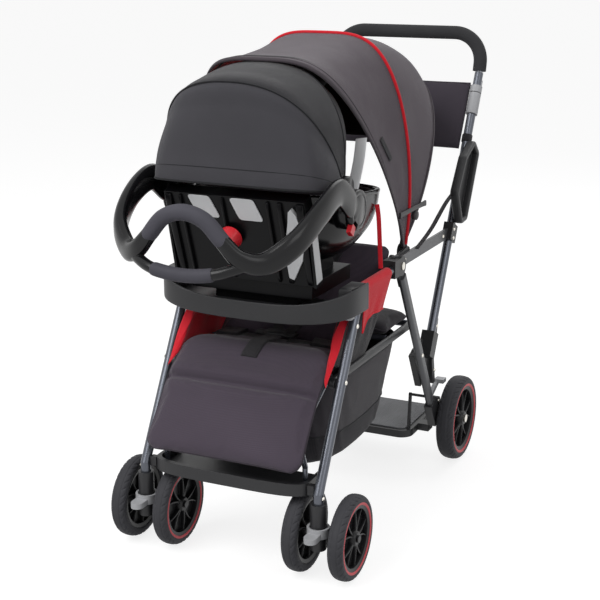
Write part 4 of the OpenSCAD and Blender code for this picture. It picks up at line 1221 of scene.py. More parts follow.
@dataclass
class Basket:
    """The storage bag under the seat: superellipse rings that sag, with a net foot and a bound rim."""

    middle: float = -80.0
    levels: tuple = (172.0, 184.0, 258.0, 320.0, 388.0)
    lengths: tuple = (186.0, 203.0, 214.0, 221.0, 226.0)
    widths: tuple = (126.0, 146.0, 160.0, 172.0, 184.0)
    sags: tuple = (11.0, 28.0, 11.0, 4.0, 0.0)
    inset: float = 1.5
    fold: float = 1.8

    def ring(self, k: Array, turn: Array) -> Array:
        """Points of the wall: across and along are half sizes times roots of cosine and sine, sagging by
        the square of the place along, with shallow folds that die out at the rim."""
        rows = smooth_route(np.stack([self.levels, self.lengths, self.widths, self.sags], 1), 24)
        at = np.linspace(0, 4, len(rows))
        z, long, wide, sag = (np.interp(k, at, rows[:, c]) for c in range(4))
        fade = np.clip(4 - k, 0, 1.5) * np.clip(k, 0, 1)
        inside = self.inset + np.abs(self.fold * np.sin(11 * turn + 2 * k) * np.sin(5 * turn) * fade)
        x = (wide - inside) * spow(np.cos(turn), 0.5)
        y = (long - inside) * spow(np.sin(turn), 0.5)
        ratio = y / long
        return np.stack([x, self.middle + y, z + 0.5 * sag * ratio ** 2], -1)

    def build(self) -> None:
        """Makes the bag with its floor, and the binding round its rim."""
        k, turn = np.meshgrid(np.linspace(0, 4, 60), 2 * np.pi * np.arange(180) / 180, indexing="ij")
        wall = self.ring(k, turn)
        share = np.linspace(0.02, 1, 16)[:, None, None]
        hub = np.array([0.0, self.middle, self.levels[0]])
        floor = hub + (wall[0] - hub) * share
        split = 26
        surface = Surface()
        surface.grid(floor, wrap_v=True, slot=1, centre=(0, self.middle, 400))
        surface.grid(wall[:split + 1], wrap_v=True, slot=1, centre=(0, self.middle, 290))
        surface.grid(wall[split:], wrap_v=True, centre=(0, self.middle, 290))
        bag = surface.build("basket_bag", (Finishes.bag, Finishes.net))
        solidify(bag, 2.2)
        seat_piece(bag, "chassis", ["basket"])
        for name, row, size in (("basket_rim", -1, 7.0), ("basket_seam", split, 4.0)):
            rings = loop_sweep(wall[row], oval(size, size * 1.3, 12), (0, 0, 1))
            surface = Surface().ring(rings)
            piece = surface.build(name, (Finishes.binding,), outward=True)
            seat_piece(piece, "chassis")


@dataclass
class Bucket:
    """The carrier's bucket: superellipse rings from a curved floor to a sloping rim."""

    middle: float = -150.5
    half_length: float = 194.5
    half_width: float = 189.0
    shares: tuple = (0.5, 0.72, 0.9, 0.97, 1.0)
    depths: tuple = (0.0, 0.06, 0.3, 0.6, 1.0)
    wall: float = 9.0
    floor_z: float = 628.0
    floor_curve: float = 0.0007
    floor_lowest: float = -30.0
    rear_lift: float = 0.22
    rim_z: float = 768.0
    rim_slope: float = 0.1

    def ring(self, k: Array, turn: Array, inset: float) -> Array:
        """Points of the wall at ring number k: sizes and depth on smooth curves through the rings."""
        rows = smooth_route(np.stack([self.shares, self.depths], 1), 24)
        at = np.linspace(0, 4, len(rows))
        share = np.interp(k, at, rows[:, 0])
        depth = np.clip(np.interp(k, at, rows[:, 1]), 0, 1)
        x = (self.half_width * share - inset) * spow(np.cos(turn), 0.7)
        y = (self.half_length * share - inset) * spow(np.sin(turn), 0.7)
        bend = self.floor_curve * (y - self.floor_lowest) ** 2
        low = self.floor_z + bend + np.maximum(0, y) * self.rear_lift
        z = low + (self.rim_z - self.rim_slope * y - low) * depth + inset * np.clip(2 - k, 0, 1)
        return np.stack([x, self.middle + y, z], -1)

    def skin(self, inset: float, top: float = 4.0) -> Array:
        """Floor and wall as one grid, from the middle of the floor out to ring number top."""
        k, turn = np.meshgrid(np.linspace(0, top, 44), 2 * np.pi * np.arange(144) / 144, indexing="ij")
        wall = self.ring(k, turn, inset)
        hub = wall[0].mean(0)
        floor = hub + (wall[0] - hub) * np.linspace(0.02, 0.96, 14)[:, None, None]
        return np.concatenate([floor, wall])

    def build(self) -> None:
        """Makes the shell with its lip and hubs, and the padding in it."""
        outer, inner = self.skin(0.0), self.skin(self.wall)
        surface = Surface().grid(outer, wrap_v=True).grid(inner, wrap_v=True)
        surface.grid(np.stack([outer[-1], inner[-1]]), wrap_v=True)
        for end in (outer[0], inner[0]):
            surface.grid(np.stack([end, end.mean(0) + 0 * end]), wrap_v=True)
        lip = (outer[-1] + inner[-1]) / 2
        surface.ring(loop_sweep(lip, oval(11.5, 8.0, 16, 3.0), (0, 0, 1)))
        boss = [(0.01, 175.0), (40.0, 175.0), (42.0, 177.0), (42.0, 202.0), (40.0, 204.5), (0.01, 204.5)]
        disc = [(0.01, 186.0), (23.7, 186.0), (23.7, 200.0), (22.0, 202.0), (0.01, 202.0)]
        for way in WAYS:
            surface.grid(spin(boss, (0, *CARRIER_HUB), 72, way), wrap_u=True)
            surface.grid(spin(disc, (0, *CARRIER_PIVOT), 48, way), wrap_u=True)
        shell = surface.build("carrier_bucket", (Finishes.gloss,), outward=True)
        seat_piece(shell, "carrier", ["carrier_shell"])
        self.padding()

    def padding(self) -> None:
        """A quilted pad on the inside of the shell: its face waves in diamonds of a few millimetres."""
        near, far = self.skin(self.wall + 1.8, 3.9), self.skin(self.wall + 12.0, 3.9)
        u = np.linspace(0, 12, near.shape[0])[:, None, None]
        v = np.linspace(0, 2 * np.pi, near.shape[1], endpoint=False)[None, :, None]
        quilt = (0.5 + 0.5 * np.cos(np.pi * u) * np.cos(18 * v)) * np.clip(u / 3, 0, 1)
        far = near + (far - near) * (0.72 + 0.28 * quilt)
        surface = Surface().grid(near, wrap_v=True).grid(far, wrap_v=True)
        surface.grid(np.stack([near[-1], far[-1]]), wrap_v=True)
        for end in (near[0], far[0]):
            surface.grid(np.stack([end, end.mean(0) + 0 * end]), wrap_v=True)
        pad = surface.build("carrier_padding", (Finishes.dark_cover,), outward=True)
        seat_piece(pad, "carrier", ["carrier_liner"])


@dataclass
class CarrierHood:
    """The carrier's hood: a charcoal cover with piped seams and a stitched hem, and a second panel."""

    cover: Canopy
    second: Canopy
    cloth: float = 2.2
    sag: float = 1.6
    seam: float = 33.0
    rows: int = 72
    stay: tuple = ((196, -262, 776), (194, -236, 803), (188, -196, 846), (178, -159, 886))

    def build(self) -> None:
        """Makes both panels, the seams, the hem and the side stays."""
        rows = (("carrier_hood_cover", self.cover, 85.0, -5.0, 2.0, "carrier", "carrier_hood"),
                ("carrier_second_panel", self.second, -3.0, -22.0, 0.6, "carrier_visor", "carrier_visor"))
        for name, canopy, start, stop, ripple, body, node in rows:
            points = canopy.panel(start, stop, self.sag, ripple, self.rows, 140)
            surface = Surface()
            last = self.rows - 1
            seam = int(np.clip(last * (start - self.seam) / (start - stop), 0, last))
            for part, slot in ((points[:seam + 1], 0), (points[seam:], 1)):
                if len(part) > 1:
                    surface.grid(part, slot=slot, centre=(0, *canopy.pivot))
            # Slot 1, behind the seam and over the whole second panel, takes the darker charcoal: painted
            # shade on the hood's top.
            piece = surface.build(name, (Finishes.charcoal, Finishes.charcoal_painted_shade_top))
            solidify(piece, self.cloth)
            seat_piece(piece, body, [node])
        seams = (("seam", self.seam, 3.6, 0.5), ("rear_seam", -4.7, 3.8, 0.4), ("hem", 84.4, 5.0, 0.6),
                 ("hem_stitch", 72.0, 2.0, 1.6))
        for name, angle, thick, drop in seams:
            strip = self.cover.edge(angle, oval(thick, thick, 12), drop)
            trim(f"carrier_hood_{name}", strip, Finishes.binding, "carrier")
        self.stays()

    def stays(self) -> None:
        """A pale flat stay on each side, from the carrier's hub up to the edge of the stroller's hood."""
        surface = Surface()
        for way in WAYS:
            path = smooth_route(np.array(self.stay) * (way, 1.0, 1.0), 8)
            surface.bar(sweep(path, oval(3.0, 25.0, 20, 4.0), (way, 0.0, 0.05)))
        piece = surface.build("carrier_hood_stays", (Finishes.stay,), outward=True)
        seat_piece(piece, "carrier")


@dataclass
class CarryHandle:
    """The carrier's handle: hub discs, broad flat arms that run up to a peaked grip, and a lower bar.

    The slot is half the width of the button's slot in a disc, and how far its floor is from the hub.
    """

    button_angle: float = 232.0
    slot: tuple[float, float] = (11.2, 28.5)
    route: tuple = ((212.5, -262, 755), (213, -285, 768), (214, -302.3, 777), (214, -360, 808),
                    (212, -440, 783), (194, -512, 738), (150, -556, 702), (112, -584, 712), (80, -592, 744),
                    (44, -596, 782), (0, -597, 795))
    sizes: tuple = ((14, 50), (16, 54), (19, 57), (21, 56), (25, 52), (29, 48), (30, 45), (29, 37), (28, 30),
                    (28, 28), (28, 28))
    lower: tuple = ((136, -566, 703), (104, -590, 693), (72, -604, 684), (36, -607, 678), (0, -608, 676))

    def build(self) -> None:
        """Makes the handle and its two rubber grips."""
        path = smooth_route(mirrored(self.route), 12)
        size = smooth_route(np.concatenate([self.sizes, self.sizes[-2::-1]]), 12)
        surface = Surface()
        surface.bar(sweep(path, oval(1.0, 1.0, 36, 2.6), (0, 0, 1), size))
        low = smooth_route(mirrored(self.lower), 10)
        surface.bar(sweep(low, oval(23.0, 23.0, 28), (0, 0, 1)))
        for way in WAYS:
            surface.grid(self.disc(way), wrap_u=True)
        handle = surface.build("carry_handle_arms", (Finishes.gloss,), outward=True)
        seat_piece(handle, "carry_handle", ["carry_handle"])
        grips = Surface()
        for line, reach, thick in ((path, 84.0, 31.5), (low, 66.0, 27.0)):
            part = line[np.abs(line[:, 0]) < reach]
            share = np.linspace(-1, 1, len(part))
            swell = 0.9 + 0.1 * lump(share, 14)
            swells = np.stack([swell, swell], 1)
            grips.bar(sweep(part, oval(thick, thick, 28, 2.2), (0, 0, 1), swells))
        grip = grips.build("carry_handle_grips", (Finishes.grip,), outward=True)
        seat_piece(grip, "carry_handle")

    def disc(self, way: float) -> Array:
        """A hub disc: a turned profile that steps in at the button's slot."""
        profile = [(0.01, 205.0), (41.0, 205.0), (42.0, 206.5), (42.0, 216.0), (41.0, 218.4), (38.5, 219.8),
                   (33.0, 220.0), (31.5, 219.2), (30.0, 220.0), (0.01, 220.0)]
        points = spin(profile, (0, *CARRIER_HUB), 180, way)
        turn = math.radians(self.button_angle)
        along = np.array((math.cos(turn), math.sin(turn)))
        aside = np.array((-math.sin(turn), math.cos(turn)))
        away = points[..., 1:] - np.array(CARRIER_HUB)
        far, off = away @ along, away @ aside
        far = np.where(np.abs(off) < self.slot[0], np.minimum(far, self.slot[1]), far)
        points[..., 1:] = np.array(CARRIER_HUB) + far[..., None] * along + off[..., None] * aside
        return points


@dataclass
class CarrierPanel:
    """What stands on the carrier's back panel: ribs, bare plates, and the wings at its sides."""

    foot: tuple[float, float] = (-338.0, 604.0)
    head: tuple[float, float] = (-402.0, 790.0)
    ribs: tuple = ((-148.0, 15.0), (-120.0, 6.0), (-24.0, 6.0), (78.0, 6.0), (104.0, 10.0), (148.0, 15.0))
    rib_ends: tuple[float, float] = (610.0, 786.0)
    plates: tuple = ((-104.0, -54.0, 19.0), (-8.0, 46.0, 17.0))
    plate_z: float = 765.0
    plate_half: float = 23.0
    tall_plate: tuple = ((131, 778), (140, 766), (145, 745), (148, 700), (140, 668), (124, 640), (114, 622),
                         (104, 626), (103, 660), (110, 710), (120, 750), (124, 772))
    wing: tuple = ((-392.0, 770.0), (-366.0, 776.0), (-322.0, 612.0), (-352.0, 606.0))
    wing_x: tuple[float, float] = (158.5, 164.0)
    wing_plate_x: tuple[float, float] = (163.8, 165.0)
    wing_plate_share: float = 0.9

    def spot(self, x: Array, z: Array, out: float) -> Array:
        """Points on the panel's front face: along its slope by the height z, and out from it."""
        slope = (self.head[0] - self.foot[0]) / (self.head[1] - self.foot[1])
        lean = math.hypot(1.0, slope)
        y = self.foot[0] + (z - self.foot[1]) * slope - out / lean
        return np.stack([x, y, z + out * slope / lean], -1)

    def build(self) -> None:
        """Makes the ribs and the plates."""
        ribs = Surface()
        z = np.linspace(*self.rib_ends, 30)
        fade = np.stack([np.ones(30), 0.3 + 0.7 * lump(np.linspace(-1, 1, 30), 8)], 1)
        for x, wide in self.ribs:
            path = self.spot(np.full(30, x), z, 2.0)
            ribs.bar(sweep(path, oval(wide, 13.0, 20, 3.5), (0, -0.95, -0.33), fade))
        piece = ribs.build("carrier_panel_ribs", (Finishes.panel,), outward=True)
        seat_piece(piece, "carrier")
        plates = Surface()
        for left, right, skew in self.plates:
            plates.bar(self.plate(left, right, skew))
        ring = np.array(self.tall_plate, float)
        layers = [self.spot(ring[:, 0], ring[:, 1], out) for out in (0.2, 8.6, 9.2)]
        plates.bar(np.stack(layers))
        piece = plates.build("carrier_bare_plates", (Finishes.plate,), outward=True)
        seat_piece(piece, "carrier")
        self.wings()

    def plate(self, left: float, right: float, skew: float) -> Array:
        """A thin plate with round corners: a superellipse of x and z in two layers."""
        t = 2 * np.pi * np.arange(64) / 64
        v = spow(np.sin(t), 0.25)
        x = (left + right) / 2 + (right - left) / 2 * spow(np.cos(t), 0.25) - skew / 2 * (v - 1)
        z = self.plate_z + self.plate_half * v
        return np.stack([self.spot(x, z, out) for out in (0.2, 1.6, 2.2)])

    def wings(self) -> None:
        """A black wing on each side of the base with a bare pale plate on its outer face."""
        wings, plates = Surface(), Surface()
        shape = np.array(self.wing)
        share = np.linspace(0, 1, 12, endpoint=False)[:, None]
        rows = ((wings, self.wing_x, 1.0), (plates, self.wing_plate_x, self.wing_plate_share))
        for way in WAYS:
            for target, faces, size in rows:
                corners = shape.mean(0) + (shape - shape.mean(0)) * size
                ring = np.concatenate([a + (b - a) * share for a, b in zip(corners, np.roll(corners, -1, 0))])
                layers = [np.column_stack([np.full(len(ring), way * x), ring]) for x in faces]
                target.bar(np.stack(layers))
        piece = wings.build("carrier_base_wings", (Finishes.panel,), outward=True)
        seat_piece(piece, "carrier")
        piece = plates.build("carrier_wing_plates", (Finishes.plate,), outward=True)
        seat_piece(piece, "carrier")


@dataclass
class Tray:
    """The front tray: a rounded wall on a superellipse, a floor, and side blocks on the front legs."""

    half_width: float = 229.0
    rear: float = -232.0
    depth: float = 125.0
    power: float = 4.0
    floor_z: float = 545.0
    floor_thick: float = 5.0
    wall: float = 5.0
    skirt: float = 23.0
    lip: float = 17.0
    side_rise: float = 36.0
    joint: float = 0.3
    block_x: float = 189.0
    block_front: float = -300.0
    block_rows: tuple = ((550.0, 0.0), (590.0, 0.0), (595.0, 0.03), (597.6, 0.09), (598.0, 0.16))

    def outline(self, inset: Array, turn: Array) -> tuple[Array, Array]:
        """X and Y of the outline moved in by an inset."""
        x = (self.half_width - inset) * spow(np.cos(turn), 2 / self.power)
        y = self.rear - (self.depth - inset) * np.maximum(0, np.sin(turn)) ** (2 / self.power)
        return x, y

    def build(self) -> None:
        """Makes the wall, the floor and the blocks as one piece."""
        turn, phi = np.meshgrid(np.linspace(0, np.pi, 181), 2 * np.pi * np.arange(32) / 32, indexing="ij")
        x, y = self.outline(self.wall / 2 * (1 - spow(np.cos(phi), 0.5)), turn)
        rise = np.abs(self.outline(np.zeros_like(turn), turn)[0] / self.half_width) ** 3
        low = self.floor_z - self.skirt * (1 - 0.8 * rise)
        top = self.floor_z + self.lip + self.side_rise * rise
        z = (low + top) / 2 + (top - low) / 2 * spow(np.sin(phi), 0.25)
        surface = Surface().bar(np.stack([x, y, z], -1))
        turn = np.linspace(0, np.pi, 121)
        x, y = self.outline(np.full(121, self.wall + self.joint), turn)
        share = np.linspace(0, 1, 12)[:, None]
        plan = np.stack([np.broadcast_to(x, (12, 121)), self.rear + (y - self.rear) * share], -1)
        levels = (self.floor_z, self.floor_z + self.floor_thick)
        layers = [np.concatenate([plan, np.full((12, 121, 1), z)], -1) for z in levels]
        surface.grid(layers[0]).grid(layers[1])
        for edge in (0, -1):
            surface.grid(np.stack([layers[0][edge], layers[1][edge]]))
        for way in WAYS:
            surface.bar(self.block(way))
        piece = surface.build("tray_body", (Finishes.black,), outward=True)
        seat_piece(piece, "chassis", ["tray"])

    def block(self, way: float) -> Array:
        """A block over the leg: the tray's inner outline cut at two lines, with its top edge rounded over."""
        turn = np.linspace(0, np.pi / 2, 400)
        x, y = self.outline(np.full(400, self.wall + self.joint), turn)
        keep = (x > self.block_x) & (y > self.block_front)
        inner = [[self.block_x, y[keep].min()], [self.block_x, self.rear]]
        ring = np.concatenate([np.stack([x, y], 1)[keep], inner])
        middle = ring.mean(0)
        layers = [np.column_stack([ring + (middle - ring) * shrink, np.full(len(ring), z)])
                  for z, shrink in self.block_rows]
        return np.stack(layers) * (way, 1.0, 1.0)


@dataclass
class SideCloth:
    """Cloth on each side of the seat: a wall from the seat up to the armrest and a drape over the armrest.

    The wall is red inside and dark outside, and its front turns outwards to the leg.
    """

    arm: tuple[float, float] = (205.0, 578.0)
    over: float = 12.5
    foot: tuple = ((0.0, 187.0, -358.0, 398.0), (0.12, 178.0, -344.0, 413.0), (0.3, 173.0, -300.0, 424.0),
                   (0.62, 178.0, -155.0, 396.0), (1.0, 175.0, -22.0, 488.0))
    head: tuple = ((0.0, 192.0, -249.0, 520.0), (0.12, 166.0, -236.0, 533.0), (0.3, 182.0, -216.0, 548.0),
                   (0.62, 190.0, -140.0, 564.0), (1.0, 176.0, 8.0, 568.0))
    crease: float = 2.6
    drape_start: float = -224.0
    drape_length: float = 158.0
    drape_inside: float = 26.0
    hem_y: tuple = ((0, 0.25, 0.5, 1), (-232, -198, -168, -108))
    hem_z: tuple = ((0, 0.1, 0.25, 0.5, 1), (486, 496, 508, 512, 508))
    cloth: float = 1.6

    def wall(self, way: float) -> Array:
        """Straight rows from the seat's edge to the line under the armrest, creased by slanting sines."""
        s, t = np.meshgrid(np.linspace(0, 1, 70), np.linspace(0, 1, 30))
        low, high = smooth_route(self.foot, 16), smooth_route(self.head, 16)
        ends = [[np.interp(s, row[:, 0], row[:, k]) for k in (1, 2, 3)] for row in (low, high)]
        x, y, z = (a + (b - a) * t for a, b in zip(*ends))
        waves = np.sin(19 * s + 5 * t) * (1 - s) + 0.6 * np.sin(31 * s - 7 * t)
        return np.stack([way * (x + self.crease * waves * np.sin(np.pi * t)), y, z], -1)

    def drape(self, way: float) -> Array:
        """Rows up inside the armrest, round it in half a circle and down outside to a slanting hem."""
        arm_x, arm_z = self.arm
        s = np.linspace(0, 1, 50)
        top = self.drape_start + self.drape_length * s
        v = np.linspace(0, 1, 8)[:, None]
        rise = arm_z - self.drape_inside * (1 - v) + 0 * s
        inner = np.stack([np.full((8, 50), arm_x - self.over), top + 0 * v, rise], -1)
        a = np.linspace(np.pi, 0, 18)[1:, None]
        round_arm = np.stack([arm_x + self.over * np.cos(a) + 0 * s, top + 0 * a,
                              arm_z + self.over * np.sin(a) + 0 * s], -1)
        w = np.linspace(0, 1, 22)[1:, None]
        hem_y, hem_z = np.interp(s, *self.hem_y), np.interp(s, *self.hem_z)
        wave = (1.2 * np.sin(9 * s + 1.3) + 0.8 * np.sin(17 * s + 2 * w)) * w
        outer = np.stack([arm_x + self.over - 4.0 * w + wave, top + (hem_y - top) * w,
                          arm_z + (hem_z - arm_z) * w], -1)
        return np.concatenate([inner, round_arm, outer]) * (way, 1.0, 1.0)

    def build(self) -> None:
        """Makes the walls and the drapes on both sides."""
        for name, way in SIDES:
            points = self.wall(way)
            surface = Surface().grid(points, centre=(way * 400.0, -200.0, 480.0))
            wall = surface.build(f"side_wall_{name}", (Finishes.red, Finishes.side))
            solidify(wall, self.cloth, 1)
            seat_piece(wall, "chassis", ["side_panels"] if way > 0 else [])
            points = self.drape(way)
            surface = Surface().grid(points, centre=(way * self.arm[0], -150.0, 540.0))
            drape = surface.build(f"side_drape_{name}", (Finishes.red,))
            solidify(drape, self.cloth)
            seat_piece(drape, "chassis")
            hem = sweep(points[-1], oval(3.2, 4.4, 12), (way, 0.0, 0.01))
            trim(f"side_drape_hem_{name}", hem, Finishes.red, "chassis")


@dataclass
class Organiser:
    """A dark cloth pocket between the handle's tubes, folded at its foot, with loops round the tubes."""

    half_width: float = 184.0
    top: float = 930.0
    low: float = 774.0
    foot: tuple[float, float] = (580.5, 958.6)
    way: tuple[float, float] = (0.46947, 0.88295)
    tube: float = 200.0
    front_belly: float = 21.0
    back_belly: float = 7.0
    droop: float = 3.6
    loop_r: float = 12.3
    loop_z: tuple[float, float] = (906.0, 800.0)

    def line(self, z: Array) -> Array:
        """Y of the handle's tube at a height."""
        return self.foot[0] + (z - self.foot[1]) * self.way[0] / self.way[1]

    def build(self) -> None:
        """Makes the pocket, its top binding and the four loops."""
        q, u = np.meshgrid(np.linspace(0, 1, 70), np.linspace(-1, 1, 61), indexing="ij")
        down = 1 - np.abs(2 * q - 1)
        z = self.top + (self.low - self.top) * down
        belly = lump(u, 4) * (0.45 + 0.55 * np.sin(np.pi * np.clip(down, 0, 1) ** 0.8) ** 0.7)
        wave = np.sin(9 * u + 4 * down) * lump(u, 2)
        front = 3.0 + (self.front_belly + wave) * belly
        back = 1.0 + self.back_belly * belly
        share = np.where(q < 0.5, np.clip((0.52 - q) / 0.04, 0, 1), 0.0)
        out = front * share + back * (1 - share)
        y = self.line(z) - out * self.way[1]
        z = z + out * self.way[0] - self.droop * lump(u, 4) * (1 - down)
        points = np.stack([self.half_width * u, y, z], -1)
        piece = Surface().grid(points).build("organiser_pocket", (Finishes.pocket,))
        solidify(piece, 1.8)
        seat_piece(piece, "push_handle", ["organiser"])
        hem = sweep(points[0], oval(4.0, 9.0, 12, 3.0), (0, -self.way[1], self.way[0]))
        trim("organiser_binding", hem, Finishes.pocket, "push_handle")
        self.loops()

    def loops(self) -> None:
        """Webbing loops: a flat section carried round each tube, with a tail onto the pocket."""
        surface = Surface()
        axis = np.array([0.0, *self.way])
        side = np.array([0.0, self.way[1], -self.way[0]])
        a = 2 * np.pi * np.arange(40)[:, None] / 40
        for z in self.loop_z:
            for way in WAYS:
                centre = np.array([way * self.tube, float(self.line(np.array(z))), z])
                ring = centre + self.loop_r * (np.cos(a) * np.array([1.0, 0, 0]) + np.sin(a) * side)
                surface.ring(loop_sweep(ring, oval(1.8, 20.0, 12, 4.0), axis))
        piece = surface.build("organiser_loops", (Finishes.webbing,), outward=True)
        seat_piece(piece, "push_handle")


@dataclass
class Harness:
    """Shoulder, lap and crotch straps that meet in a buckle on the front seat."""

    seat: Seat
    wide: float = 24.0
    sleeve: tuple[float, float] = (44.0, 9.0)
    crotch: tuple[float, float] = (38.0, 6.0)
    buckle_y: float = -202.0
    buckle_z: float = 452.0
    tongue_x: float = 34.0

    def strap(self, name: str, points: Sequence[Sequence[float]], up: Sequence[float], wide: float,
              thick: float = 2.4) -> bpy.types.Object:
        """Flat webbing, or a flat sleeve on it, along a smooth curve."""
        path = smooth_route(points, 14)
        rings = sweep(path, oval(wide, thick, 24, 4.0), up)
        return Surface().bar(rings).build(name, (Finishes.webbing,), outward=True)

    def build(self) -> None:
        """Makes the straps with their sleeves, and the buckle."""
        for name, way in SIDES:
            back = self.seat.back.top(way * np.linspace(0.34, 0.13, 7), np.linspace(-0.78, 0.66, 7), 2.5)
            points = np.concatenate([back, [(way * 13, -172, 444), (way * 6, -196, 446)]])
            strap = self.strap(f"shoulder_strap_{name}", points, (0.0, -0.6, 0.8), self.wide)
            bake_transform(strap)
            LOG.info("%s bends between seat_back and chassis", strap.name)
            u, v = way * np.linspace(0.9, 0.16, 8), np.linspace(-0.7, -0.42, 8)
            lap = self.seat.base.top(u, v, 2.2)
            strap = self.strap(f"lap_strap_{name}", lap, (0.0, 0.0, 1.0), self.wide)
            seat_piece(strap, "chassis")
            sleeve = self.strap(f"lap_sleeve_{name}", lap[1:5] + (0, 0, 4.0), (0.0, 0.0, 1.0), *self.sleeve)
            seat_piece(sleeve, "chassis")
        crotch = self.seat.calf.top(np.zeros(6), np.linspace(-0.99, -0.52, 6), 3.0)
        points = np.concatenate([[(0, -206, 447), (0, -234, 450)], crotch])
        strap = self.strap("crotch_strap", points, (0.0, 0.0, 1.0), *self.crotch)
        seat_piece(strap, "chassis")
        self.buckle()

    def buckle(self) -> None:
        """The buckle's rounded body with a tongue on each side."""
        surface = Surface()
        y, z = self.buckle_y, self.buckle_z
        path = np.stack([np.linspace(-24, 24, 20), np.full(20, y), np.full(20, z)], 1)
        swell = np.stack([0.7 + 0.3 * lump(np.linspace(-1, 1, 20), 3)] * 2, 1)
        surface.bar(sweep(path, oval(34.0, 13.0, 28, 3.0), (0, 0, 1), swell))
        for x in (-self.tongue_x, self.tongue_x):
            tongue = np.stack([np.linspace(x - 12, x + 12, 8), np.full(8, y + 1.0), np.full(8, z - 2.0)], 1)
            surface.bar(sweep(tongue, oval(28.0, 7.0, 20, 3.0), (0, 0, 1)))
        piece = surface.build("harness_buckle", (Finishes.black,), outward=True)
        seat_piece(piece, "chassis")


@dataclass
class HandHolds:
    """D-shaped holds beside the handle's tubes: a thick rounded rim round a shallow dish."""

    corners: tuple = ((486, 762), (410, 622), (386, 620), (352, 688), (404, 758), (462, 784))
    inner_x: float = 211.3
    thick: float = 22.0
    corner: float = 16.0
    rim: float = 13.0
    dish: float = 5.0
    strap: tuple = ((213, 356, 684), (212, 300, 666), (209, 210, 622), (203.5, 128, 592))

    def outline(self, radius: float) -> Array:
        """A rounded outline: each corner's arc turns from one edge's outward direction to the next one's."""
        p = np.asarray(self.corners, float)
        step = np.roll(p, -1, 0) - p
        after = np.roll(step, -1, 0)
        spin_way = np.sign(np.sum(step[:, 0] * after[:, 1] - step[:, 1] * after[:, 0]))
        angle = np.arctan2(step[:, 1], step[:, 0]) - spin_way * np.pi / 2
        before = np.roll(angle, 1)
        turn = (angle - before + np.pi) % (2 * np.pi) - np.pi
        a = before[:, None] + turn[:, None] * np.linspace(0, 1, 14)[None]
        return (p[:, None] + radius * np.stack([np.cos(a), np.sin(a)], -1)).reshape(-1, 2)

    def build(self) -> None:
        """Makes the rims, the dishes and the thin straps from the holds to the links."""
        surface = Surface()
        line = self.outline(self.corner - self.rim / 2)
        dish = self.outline(self.corner - self.rim + 3.0)
        for way in WAYS:
            path = np.column_stack([np.full(len(line), way * (self.inner_x + self.thick / 2)), line])
            rings = loop_sweep(path, oval(self.rim, self.thick, 28, 3.2), (1, 0, 0))
            surface.ring(rings)
            layers = [np.column_stack([np.full(len(dish), way * x), dish])
                      for x in (self.inner_x + 0.2, self.inner_x + self.dish)]
            surface.bar(np.stack(layers))
        piece = surface.build("hand_hold_rims", (Finishes.black,), outward=True)
        seat_piece(piece, "push_handle", ["hand_holds"])
        for name, way in SIDES:
            path = smooth_route(np.array(self.strap) * (way, 1.0, 1.0), 14)
            rings = sweep(path, oval(2.0, 11.0, 14, 4.0), (way, 0.0, 0.01))[:, ::-1]
            trim(f"link_strap_{name}", rings, Finishes.webbing, "push_handle")


@dataclass
class Fasteners:
    """Domed rivets on the frame's outer faces."""

    spots: tuple = (("chassis", ((216.0, -318.0, 402.0), (216.0, -259.0, 508.0), (216.0, -432.0, 188.0))),
                    ("push_handle", ((212.5, 378.0, 590.0), (212.5, 374.0, 568.0), (200.5, 60.0, 580.0),
                                     (200.5, 330.0, 580.0), (197.0, 302.0, 240.0), (197.0, 314.0, 352.0))),
                    ("rear_frame", ((219.6, 276.0, 170.0), (217.6, 150.0, 325.0))))
    radius: float = 5.0
    rise: float = 2.6

    def build(self) -> None:
        """Makes one piece of rivets for each body."""
        dome = [(0.01, self.rise), (0.5 * self.radius, 0.86 * self.rise),
                (0.85 * self.radius, 0.45 * self.rise), (self.radius, -0.6)]
        for body, spots in self.spots:
            surface = Surface()
            for x, y, z in spots:
                for way in WAYS:
                    surface.grid(spin(dome, (way * x, y, z), 20, way), wrap_u=True)
            piece = surface.build(f"rivets_{body}", (Finishes.steel,), outward=True)
            seat_piece(piece, body)


@dataclass
class CarrierStraps:
    """A red strap on each side of the carrier, down to the armrest."""

    route: tuple = ((189, -92, 735), (192, -88, 704), (195, -87, 650), (198, -86, 592))

    def build(self) -> None:
        """Makes both straps as flat webbing that follows the shell's side."""
        for name, way in SIDES:
            path = smooth_route(np.array(self.route) * (way, 1.0, 1.0), 14)
            rings = sweep(path, oval(10.0, 2.0, 14, 4.0), (way * 0.42, -0.9, 0.0))
            trim(f"carrier_red_strap_{name}", rings, Finishes.red, "carrier")


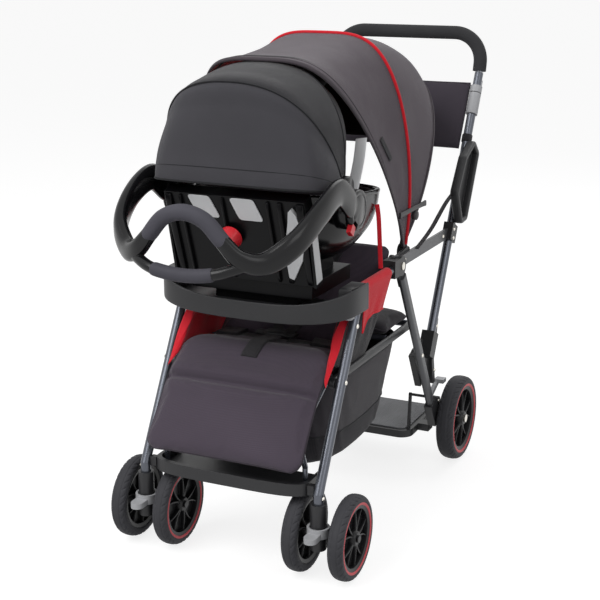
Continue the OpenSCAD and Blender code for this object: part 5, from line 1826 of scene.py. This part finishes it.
@dataclass
class Stroller:
    """The whole stroller, built in order.

    A turn of the hood is an angle and a crown radius. A bow of the carrier's hood also has its half width
    and its power.
    """

    hood_turns: tuple = ((-38.0, 490.0), (-26.0, 496.0), (-12.0, 495.0), (7.0, 500.0), (20.0, 514.0),
                         (31.0, 549.0), (38.0, 591.0), (39.5, 597.0))
    hood_half: float = 186.0
    hood_power: float = 3.8
    hood_step: float = 8.0
    hood_base: float = 18.0
    hood_bulge: float = 15.0
    carrier_bows: tuple = ((85.0, 142.0, 195.0, 5.5), (65.0, 159.0, 194.0, 4.6), (52.0, 186.0, 193.0, 3.6),
                           (41.0, 224.0, 191.0, 2.8), (33.0, 260.0, 190.0, 2.4), (19.0, 248.0, 190.0, 2.4),
                           (7.0, 244.0, 190.0, 2.4), (-5.0, 245.0, 190.0, 2.4))
    carrier_base: float = 24.0
    caster: tuple[float, float, float] = (205.0, -385.0, 91.0)
    caster_gap: float = 35.0
    rear_axle: tuple[float, float, float] = (223.6, 345.0, 107.0)

    def build(self) -> None:
        """Makes each sub-assembly."""
        Studio().build()
        Frame().dress()
        for wheel in self.wheels():
            wheel.build()
        StrollerHood(self.hood(0.0), self.hood(self.hood_step)).build()
        seat = self.seat()
        seat.build()
        Harness(seat).build()
        SideCloth().build()
        Basket().build()
        Organiser().build()
        HandHolds().build()
        Tray().build()
        Bucket().build()
        second = tuple((-3.0 - 4.75 * k, 239.0 - k, 184.0, 2.4) for k in range(5))
        CarrierHood(*(Canopy(CARRIER_PIVOT, self.carrier_base, bows)
                      for bows in (self.carrier_bows, second))).build()
        CarryHandle().build()
        CarrierPanel().build()
        CarrierStraps().build()
        Fasteners().build()

    def hood(self, inside: float) -> Canopy:
        """The stroller's hood, or a smaller one inside it by some millimetres."""
        bows = tuple((angle, radius - inside, self.hood_half - inside, self.hood_power)
                     for angle, radius in self.hood_turns)
        return Canopy(HOOD_PIVOT, self.hood_base, bows, self.hood_bulge)

    def wheels(self) -> list[Wheel]:
        """The six wheels in their places."""
        made = []
        x, y, z = self.caster
        for side, way in SIDES:
            for place, turn in (("o", 1.0), ("i", -1.0)):
                inner = (way * x + way * turn * self.caster_gap, y, z)
                made.append(Wheel(f"front_wheel_{side}{place}", z, 34.0, inner, way * turn, 4.05, 34))
        x, y, z = self.rear_axle
        for side, way in SIDES:
            made.append(Wheel(f"rear_wheel_{side}", z, 44.0, (way * x, y, z), way, 6.05, 38))
        return made

    @staticmethod
    def seat() -> Seat:
        """The seat's pads."""
        knee = ((-258, 443), (-285, 438), (-308, 427), (-330, 412), (-350, 398), (-371, 381), (-392, 355),
                (-414, 325), (-437, 293), (-472, 244))
        folds = (("across", -0.1, 12.0, 7.0), ("across", -0.24, -4.0, 18.0), ("across", 0.05, -3.0, 16.0))
        calf = Pad("calf_pad_stuffed", knee, 193.0, 10.0, 18.0, 0.03, folds, (75.0, 40.0))
        flat = ((-167, 412.3), (-232, 412.3), (-298, 412.3))
        base = Pad("seat_cushion_stuffed", flat, 184.0, 10.0, 20.0, 0.02)
        slope = ((52, 612), (-54, 508), (-158.5, 404.5))
        quilt = (("along", -0.33, 4.0, 5.0), ("along", 0.33, 4.0, 5.0))
        back = Pad("backrest_stuffed", slope, 181.0, 12.0, 18.0, 0.03, quilt, (30.0, 14.0))
        level = ((164, 414.3), (87, 414.3), (10, 414.3))
        bench = Pad("rear_bench_stuffed", level, 183.0, 14.0, 18.0, 0.02)
        return Seat(calf, base, back, bench)


def main() -> None:
    logging.basicConfig(level=logging.INFO, format="%(message)s")
    Stroller().build()


if __name__ == "__main__":
    main()
